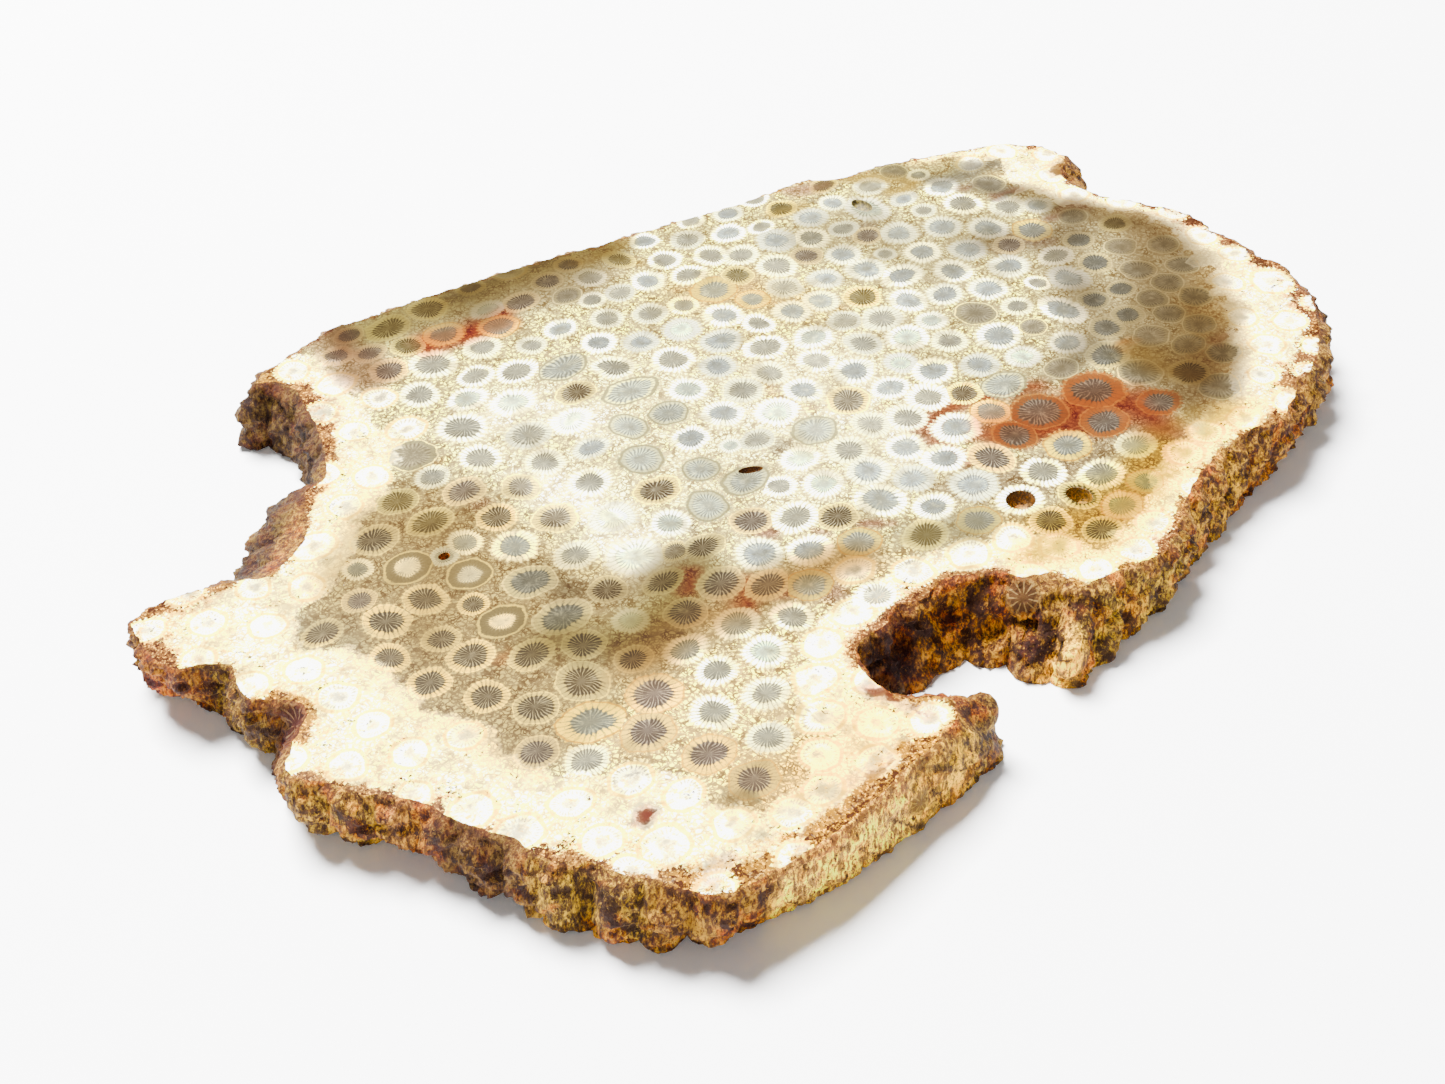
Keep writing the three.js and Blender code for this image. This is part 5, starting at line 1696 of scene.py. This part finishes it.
@dataclass(frozen=True)
class BleachedMargin:
    """The node group for the chalky cream margin with its brown stains.

    The fields are the colours of its chalk and of its stains; where a field holds two colours,
    the first is that of pinkish places and the second that of golden ones.
    """

    name: str = "Bleached margin"
    chalk: tuple[Tone, Tone] = ((255, 254, 248), (254, 248, 230))
    disc: Tone = (255, 255, 252)
    mottling: Tone = (250, 236, 210)
    outline: Tone = (248, 226, 176)
    blush: tuple[Tone, Tone] = ((238, 200, 170), (246, 214, 150))
    brown: tuple[Tone, Tone] = ((180, 116, 84), (222, 174, 98))
    deep_brown: Factors = (0.66, 0.49, 0.36)
    sugar: Tone = (254, 238, 208)
    speck: Tone = (120, 62, 30)

    def group(self) -> Tree:
        """Builds the group.

        Returns:
            Its node tree. Outputs: Color, Amount, and Speck, which is 1 on the dark specks.
        """
        bench, given, out = new_group(
            self.name,
            {"Color": COLOUR, "Place": VECTOR}
            | dict.fromkeys(("Bleach", "Edge", "Dirt", "Disc", "Line", "Gold"), NUMBER),
            {"Color": COLOUR, "Amount": NUMBER, "Speck": NUMBER},
        )
        place, disc, dirt_and_shade, gold = (given[title] for title in ("Place", "Disc", "Dirt", "Gold"))
        level = bench.sway(given["Bleach"], bench.grain(place, 2.4, 3.0, 0.55), 0.8)
        level = bench.sway(level, bench.grain(place, 0.55, 3.0, 0.6), 0.5)
        amount = bench.step(level, 0.38, 0.6)

        # Chalk: cream between the corallites and white on them, with what is left of their outlines.
        broad = bench.grain(place, 7.0, 3.0, 0.6)
        between = bench.mix(bench.step(broad, 0.42, 0.62), *(seen(*tone) for tone in self.chalk))
        cream = bench.mix(bench.line(disc, 0.8, 0.2), between, seen(*self.disc))
        mottle = bench.grain(place, 1.1, 5.0, 0.7)
        cream = bench.laid(cream, seen(*self.mottling), bench.step(mottle, 0.48, 0.38), 0.5)
        veil = bench.line(bench.step(level, 0.5, 0.9), -0.24, 0.76)
        colour = bench.laid(given["Color"], cream, amount, veil)
        drawn = bench.times(given["Line"], bench.times(amount, 0.6))
        colour = bench.laid(colour, seen(*self.outline), drawn, bench.step(mottle, 0.62, 0.46))

        # Stains: a blush, then brown with deep and sugary grains, thickest along the edge.
        near = bench.times(bench.math("POWER", given["Edge"], 2.0), bench.line(dirt_and_shade, 1.05, 0.2))
        near = bench.times(near, bench.line(bench.step(bench.grain(place, 6.0, 2.0), 0.36, 0.56), 0.65, 0.35))
        near = bench.times(near, bench.line(disc, -0.65, 1.0))
        patch = bench.grain(place, 1.5, 6.0, 0.78)
        limit = bench.line(near, -0.30, 0.70)
        flush = bench.times(bench.step(patch, bench.minus(limit, 0.14), limit), amount)
        colour = bench.laid(colour, bench.mix(gold, *(seen(*tone) for tone in self.blush)), flush, 0.45)
        stain = bench.times(bench.step(patch, limit, bench.math("ADD", limit, 0.05)), amount)
        brown = bench.mix(gold, *(seen(*tone) for tone in self.brown))
        brown = bench.mix(bench.step(mottle, 0.5, 0.58), brown, bench.tinted(brown, self.deep_brown))
        sugar = bench.step(bench.grain(place, 0.36, 2.0, 0.6), 0.52, 0.62)
        brown = bench.laid(brown, seen(*self.sugar), sugar, 0.8)
        colour = bench.laid(colour, brown, stain, 0.88)
        ragged = bench.line(disc, -0.3, bench.sway(given["Edge"], patch, 0.8))
        ragged = bench.step(bench.line(bench.math("POWER", dirt_and_shade, 2.0), 0.28, ragged), 0.94, 1.0)
        colour = bench.laid(colour, brown, ragged, 0.85)

        # Specks: fine and nearly black, in swarms.
        limit = bench.sway(bench.line(near, -0.16, 0.67), bench.grain(place, 3.4, 3.0, 0.6), -0.6)
        specks = bench.grain(place, 0.55, 4.0, 0.7)
        speck = bench.times(bench.step(specks, limit, bench.math("ADD", limit, 0.04)), amount)
        bench.feed(out["Color"], bench.laid(colour, seen(*self.speck), speck, 0.85))
        bench.feed(out["Amount"], amount)
        bench.feed(out["Speck"], speck)
        return bench.tree


@dataclass(frozen=True)
class Agate:
    """Polished or sawn coral: corallites, stains, and the bleached margin.

    coat is the strength of its polish, dulling how far saw dust hides its colours, and grain how
    rough it is in the bump.
    """

    name: str
    roughness: float
    coat: float
    dulling: float
    grain: float
    chalk: Tone = (255, 252, 238)
    depth_shade: Factors = (0.90, 0.87, 0.80)
    cloud: Tone = (252, 251, 240)
    dust: Tone = (206, 196, 172)

    def material(
        self, corallites: Tree, margin: Tree, develop: Tree
    ) -> Material:
        """Makes the material.

        Args:
            corallites: the group that draws the corallites.
            margin: the group for the bleached margin.
            develop: the group that turns seen colours into base colours.

        Returns:
            The material.
        """
        made, bench, shader = new_material(self.name)
        place = bench.place()
        cell = bench.node("ShaderNodeUVMap", uv_map="cell").outputs["UV"]
        under, _ = bench.attribute("under")
        veil, cover = bench.attribute("over")
        tint, _ = bench.attribute("tint")
        mask, gold = bench.attribute("mask")
        core, septa = bench.attribute("core")
        ring, band = bench.attribute("ring")
        line, outline = bench.attribute("line")
        trait, _ = bench.attribute("trait")
        bleach, edge, dirt_and_shade = bench.channels(mask)
        ground = bench.laid(under, seen(*self.chalk), bench.step(bleach, 0.4, 0.8), 0.85)
        rings = bench.group(
            corallites, Cell=cell, Place=place, Core=core, Septa=septa, Ring=ring, Band=band, Line=line,
            Outline=outline, Trait=trait, Ground=ground,
        )
        haze = bench.grain(place, 3.0, 3.0, 0.6)
        clouded = bench.times(cover, bench.line(haze, 0.7, 0.6))
        clouded = bench.times(clouded, bench.line(rings["Structure"], -0.25, 1.0))
        colour = bench.mix(bench.math("MINIMUM", clouded, 1.0), rings["Color"], veil)
        rim = bench.group(
            margin, Color=colour, Place=place, Bleach=bleach, Edge=edge, Dirt=dirt_and_shade, Disc=rings["Disc"],
            Line=rings["Line"], Gold=gold,
        )
        colour = bench.tinted(rim["Color"], tint)
        depth = bench.grain(place, 4.5, 3.0, 0.6)
        colour = bench.laid(colour, bench.tinted(colour, self.depth_shade), bench.step(depth, 0.5, 0.3), 0.5)
        colour = bench.laid(colour, seen(*self.cloud), bench.step(depth, 0.52, 0.72), 0.12)
        if self.dulling:
            colour = bench.mix(self.dulling, colour, seen(*self.dust))
        bench.feed(shader.inputs["Base Color"], bench.group(develop, Seen=colour)[0])
        gloss = bench.line(rim["Speck"], 0.25, bench.line(rim["Amount"], 0.16, self.roughness))
        bench.feed(shader.inputs["Roughness"], gloss)
        clean = bench.line(rim["Amount"], -0.85, 1.0)
        bench.feed(shader.inputs["Specular IOR Level"], bench.times(clean, 0.14))
        bench.feed(shader.inputs["Coat Weight"], bench.times(clean, self.coat))
        shader.inputs["Coat Roughness"].default_value = 0.08
        ripple = bench.line(bench.grain(place, 5.0, 2.0), 0.15, bench.times(rim["Speck"], -0.8))
        bench.bump(shader, bench.line(bench.grain(place, 0.5, 3.0, 0.6), self.grain, ripple), 0.5, 0.2)
        return made


@dataclass(frozen=True)
class Cup:
    """An open corallite on the rim: a dark bowl with pale septa that run in from its edge.

    at is its middle in millimetres in the frame, heading the way it faces in degrees from +X, and
    lean how far it faces upwards.
    """

    at: Place
    heading: float
    lean: float
    radius: float
    bowl: Tone
    septa: Tone = (250, 236, 206)
    count: int = 11

    def draw(self, bench: Bench, place: Socket, under: Socket, grains: Socket) -> Socket:
        """Draws the cup over a colour.

        Args:
            bench: the bench of the material.
            place: object coordinates in millimetres.
            under: the colour to draw over.
            grains: fine noise from 0 to 1.

        Returns:
            The colour with the cup in it.
        """
        aim = bench.fed("ShaderNodeMapping", place, vector_type="TEXTURE")
        aim.inputs["Location"].default_value = self.at
        aim.inputs["Rotation"].default_value = (0, -math.radians(self.lean), math.radians(self.heading))
        ahead, across, up = bench.axes(aim.outputs["Vector"])
        out, angle = bench.polar(across, up)
        radius = bench.sway(bench.math("DIVIDE", out, self.radius), grains, 0.9)
        close = bench.step(bench.math("ABSOLUTE", ahead), self.radius * 1.6, self.radius * 1.2)
        bowl = bench.times(bench.step(radius, 1.02, 0.8), bench.times(close, 0.85))
        wave = bench.math("COSINE", bench.line(grains, 3.0, bench.times(angle, float(self.count))))
        blade = bench.times(bench.step(wave, 0.5, 0.9), bench.times(bench.step(radius, 0.22, 0.4), close))
        blade = bench.times(blade, bench.step(radius, 1.0, 0.9))
        lip = bench.step(bench.math("ABSOLUTE", bench.minus(radius, 1.08)), 0.14, 0.06)
        lip = bench.times(bench.times(lip, close), bench.step(grains, 0.42, 0.54))
        colour = bench.mix(bowl, under, seen(*self.bowl))
        colour = bench.laid(colour, seen(*self.septa), blade, 0.5)
        return bench.laid(colour, bench.mix(0.5, seen(*self.septa), seen(*self.bowl)), lip, 0.6)


CUPS = (
    Cup((-78.6, -1.6, 8.6), 176, 40, 2.2, (104, 44, 24)),
    Cup((-2.6, -48.4, 7.6), 214, 30, 2.0, (116, 70, 22)),
    Cup((16.6, -58.4, 3.6), 262, 0, 1.7, (84, 44, 14), (222, 170, 96)),
    Cup((-36.0, -60.2, 5.4), 268, 0, 1.5, (166, 124, 60), (240, 214, 150)),
)


@dataclass(frozen=True)
class Crust:
    """The weathered rim. Its fields are factors on its own colour, and colours laid over it; some paint shade
    into its hollows and highlights onto its crumbs.
    """

    name: str = "weathered crust"
    yellow: Factors = (1.06, 0.82, 0.46)
    drab: Factors = (1.0, 0.98, 0.84)
    rosy: Factors = (1.1, 1.02, 1.24)
    # Factors for the painted shade between the crumbs.
    shade: Factors = (0.52, 0.38, 0.18)
    thread: Factors = (0.66, 0.52, 0.32)
    # Factors for the painted shade in the deepest hollows.
    dirt_and_shade: Factors = (0.34, 0.22, 0.12)
    pore: Factors = (0.46, 0.34, 0.20)
    # Pale crumbs with a painted highlight on the raised ones.
    crumb_highlight: Tone = (255, 234, 186)
    brows: tuple[Tone, Tone] = ((176, 104, 32), (190, 122, 70))
    grain: Tone = (255, 232, 178)
    speck: Tone = (104, 60, 20)

    def material(self, develop: Tree) -> Material:
        """Makes the material, with the group that turns seen colours into base colours."""
        made, bench, shader = new_material(self.name)
        place = bench.place()
        base, hollow = bench.attribute("crust")
        green = bench.channels(base)[1]
        calm = bench.step(green, 0.62, 0.8)
        height = bench.axes(place)[2]
        tall = bench.scaled(place, (1, 1, 0.12))
        fibre = bench.grain(tall, 0.45, 2.0, 0.6)
        patch = bench.grain(place, 2.6, 4.0, 0.6)
        crumbs = bench.grain(bench.scaled(place, (1, 1, 0.5)), 0.7, 5.0, 0.78)
        hues = bench.channels(bench.noise(place, 4.2, 3.0, 0.6).outputs["Color"])
        rugged = bench.line(calm, -0.8, 1.0)
        colour = base
        for hue, limit, factors in zip(hues, (0.5, 0.5, 0.54), (self.yellow, self.drab, self.rosy)):
            tinged = bench.step(hue, limit, limit + 0.12)
            colour = bench.laid(colour, bench.tinted(colour, factors), tinged, rugged)

        # Pale crumbs with painted highlights, painted shade in the hollows between them, and threads that run
        # down the wall.
        # The level mixes noise with how hollow the rim is: the dimming is partly random tone and partly
        # painted shade, the lightening partly pale crumbs and partly painted highlight.
        level = bench.sway(bench.line(patch, 0.7, 0.15), crumbs, 1.3)
        level = bench.sway(level, hollow, -0.35, 0.42)
        lit = bench.mix(bench.line(green, 0.9, 0.1), colour, seen(*self.crumb_highlight))
        dim = bench.tinted(colour, self.shade)
        colour = bench.laid(colour, dim, bench.step(level, 0.51, 0.39), bench.line(calm, -0.6, 0.9))
        colour = bench.laid(colour, lit, bench.step(level, 0.52, 0.64), 0.85)
        threads = bench.tinted(colour, self.thread)
        colour = bench.laid(colour, threads, bench.step(fibre, 0.5, 0.4), bench.line(calm, -0.3, 0.9))

        # A rusty brow along the top, painted shade in the hollows, pores, bright grains and dark specks.
        brow = bench.step(bench.sway(height, patch, 7.0), 8.4, 9.8)
        brow = bench.times(brow, bench.line(calm, 0.3, 0.3))
        brows = bench.mix(bench.step(hues[0], 0.45, 0.55), *(seen(*tone) for tone in self.brows))
        colour = bench.laid(colour, brows, brow, bench.line(bench.step(crumbs, 0.56, 0.46), 0.85, 0.15))
        # Painted shade: the deepest hollows are darkened towards a deep brown, where shade falls.
        dirt_and_shade = bench.step(bench.sway(hollow, crumbs, -1.1), 0.6, 0.94)
        colour = bench.laid(colour, bench.tinted(base, self.dirt_and_shade), dirt_and_shade, bench.line(calm, -0.3, 0.9))
        grit = bench.grain(place, 0.3, 3.0, 0.7)
        colour = bench.laid(colour, bench.tinted(colour, self.pore), bench.step(grit, 0.42, 0.36), 0.7)
        grains = bench.mix(bench.line(green, 0.6, 0.3), base, seen(*self.grain))
        shine = bench.times(bench.step(grit, 0.56, 0.63), bench.step(crumbs, 0.42, 0.56))
        colour = bench.laid(colour, grains, shine, 0.75)
        specks = bench.step(bench.grain(tall, 0.5, 3.0, 0.7), 0.62, 0.68)
        colour = bench.laid(colour, seen(*self.speck), specks, 0.75)
        for cup in CUPS:
            colour = cup.draw(bench, place, colour, crumbs)
        bench.feed(shader.inputs["Base Color"], bench.group(develop, Seen=colour)[0])
        shader.inputs["Specular IOR Level"].default_value = 0.12
        bench.feed(shader.inputs["Roughness"], bench.line(crumbs, 0.3, 0.6))
        bench.bump(shader, bench.line(fibre, 0.7, crumbs), 1.0, 0.5)
        return made


@dataclass(frozen=True)
class PitWall:
    """The stained wall of an open pit, with pale crystals on its floor."""

    name: str = "pit wall"
    stained: Factors = (0.62, 0.54, 0.40)
    clean: Factors = (0.92, 0.82, 0.58)
    crystal: Tone = (255, 240, 218)

    def material(self, develop: Tree) -> Material:
        """Makes the material, with the group that turns seen colours into base colours."""
        made, bench, shader = new_material(self.name)
        place = bench.place()
        own, depth = bench.attribute("crust")
        grains = bench.grain(place, 0.5, 4.0, 0.7)
        stained, clean = (bench.tinted(own, factors) for factors in (self.stained, self.clean))
        wall = bench.mix(bench.step(grains, 0.42, 0.6), stained, clean)
        crystals = bench.mix(0.75, own, seen(*self.crystal))
        colour = bench.laid(wall, crystals, bench.step(grains, 0.42, 0.52), bench.step(depth, 0.4, 0.8))
        bench.feed(shader.inputs["Base Color"], bench.group(develop, Seen=colour)[0])
        shader.inputs["Specular IOR Level"].default_value = 0.3
        shader.inputs["Roughness"].default_value = 0.4
        bench.bump(shader, grains, 1.0, 0.3)
        return made


# ---- The stage ----


@dataclass(frozen=True)
class Stage:
    """A pale floor, soft light from above and the camera.

    Each light is its place, the side of its square and its power; all of them look at the slice.
    The camera's heading, drop and roll are in degrees.
    """

    floor_size: float = 6.0
    soft_box: tuple[Place, float, float] = ((0.0, 0.46, 0.98), 0.5, 130.0)
    side_fill: tuple[Place, float, float] = ((-0.9, -0.7, 0.6), 0.8, 4.0)
    glow: float = 0.3
    camera_at: Place = (-0.16177, -0.16035, 0.1775)
    heading: float = 44.0
    drop: float = 39.9
    roll: float = -2.13
    lens: float = 51.82

    def build(self) -> bpy.types.Object:
        """Sets the stage and returns its floor."""
        bm = bmesh.new()
        bmesh.ops.create_grid(bm, x_segments=1, y_segments=1, size=self.floor_size / 2)
        mesh = bpy.data.meshes.new("floor")
        bm.to_mesh(mesh)
        bm.free()
        floor = add_object("floor", mesh)
        mesh.materials.append(self._paper())
        self._light("soft_box", *self.soft_box)
        self._light("side_fill", *self.side_fill)
        world = bpy.data.worlds.new("studio")
        world.use_nodes = True
        background = world.node_tree.nodes["Background"]
        background.inputs["Color"].default_value = (1, 1, 1, 1)
        background.inputs["Strength"].default_value = self.glow
        bpy.context.scene.world = world
        self._camera()
        return floor

    def _paper(self) -> Material:
        """The floor's dull white paper."""
        made, bench, shader = new_material("white paper")
        tone = bench.grain(bench.place(), 60.0, 2.0)
        bench.feed(shader.inputs["Base Color"], bench.mix(tone, (0.95, 0.95, 0.95), (0.97, 0.97, 0.97)))
        shader.inputs["Roughness"].default_value = 1.0
        shader.inputs["Specular IOR Level"].default_value = 0.0
        return made

    def _light(self, name: str, at: Place, size: float, power: float) -> None:
        """Adds a square soft light that looks at the slice."""
        data = bpy.data.lights.new(name, "AREA")
        data.size = size
        data.energy = power
        lamp = add_object(name, data)
        lamp.location = at
        lamp.rotation_euler = (Vector() - Vector(at)).to_track_quat("-Z", "Y").to_euler()

    def _camera(self) -> None:
        """Adds the camera and makes it the scene's."""
        heading, drop, roll = (math.radians(angle) for angle in (self.heading, self.drop, self.roll))
        east, north = math.sin(heading), math.cos(heading)
        level, dive = math.cos(drop), math.sin(drop)
        ahead = Vector((east * level, north * level, -dive))
        right = Vector((north, -east, 0))
        up = Vector((east * dive, north * dive, level))
        side = math.cos(roll) * right + math.sin(roll) * up
        crown = -math.sin(roll) * right + math.cos(roll) * up
        data = bpy.data.cameras.new("camera")
        data.lens = self.lens
        data.sensor_width = 36
        data.sensor_fit = "HORIZONTAL"
        data.clip_start = 0.01
        data.dof.use_dof = False
        camera = add_object("camera", data)
        turn = Matrix((side, crown, -ahead)).transposed().to_4x4()
        camera.matrix_world = Matrix.Translation(Vector(self.camera_at)) @ turn
        bpy.context.scene.camera = camera


def main() -> None:
    """Builds the slice and the stage."""
    logging.basicConfig(level=logging.INFO, format="%(message)s")
    slab = Slab()
    slice_object = slab.build()
    log.info("slice: %d corallites, %d faces", len(slab.colony.corallites), len(slice_object.data.polygons))
    corallites = CorallitePattern().group()
    margin = BleachedMargin().group()
    develop = Develop().group()
    develop_rim = Develop("Seen colour to base colour, in half light", RIM_LIGHT).group()
    finishes = {
        Finish.FACE: Agate("polished agate", 0.2, 0.05, 0.0, 0.04).material(corallites, margin, develop),
        Finish.RIM: Crust().material(develop_rim),
        Finish.BASE: Agate("sawn agate", 0.5, 0.0, 0.3, 0.5).material(corallites, margin, develop),
        Finish.PIT: PitWall().material(develop_rim),
    }
    for finish in Finish:
        slice_object.data.materials.append(finishes[finish])
    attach(slice_object, "root")
    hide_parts("coral_slice")
    floor = Stage().build()
    log.info("stage: floor, lights and camera")


if __name__ == "__main__":
    main()
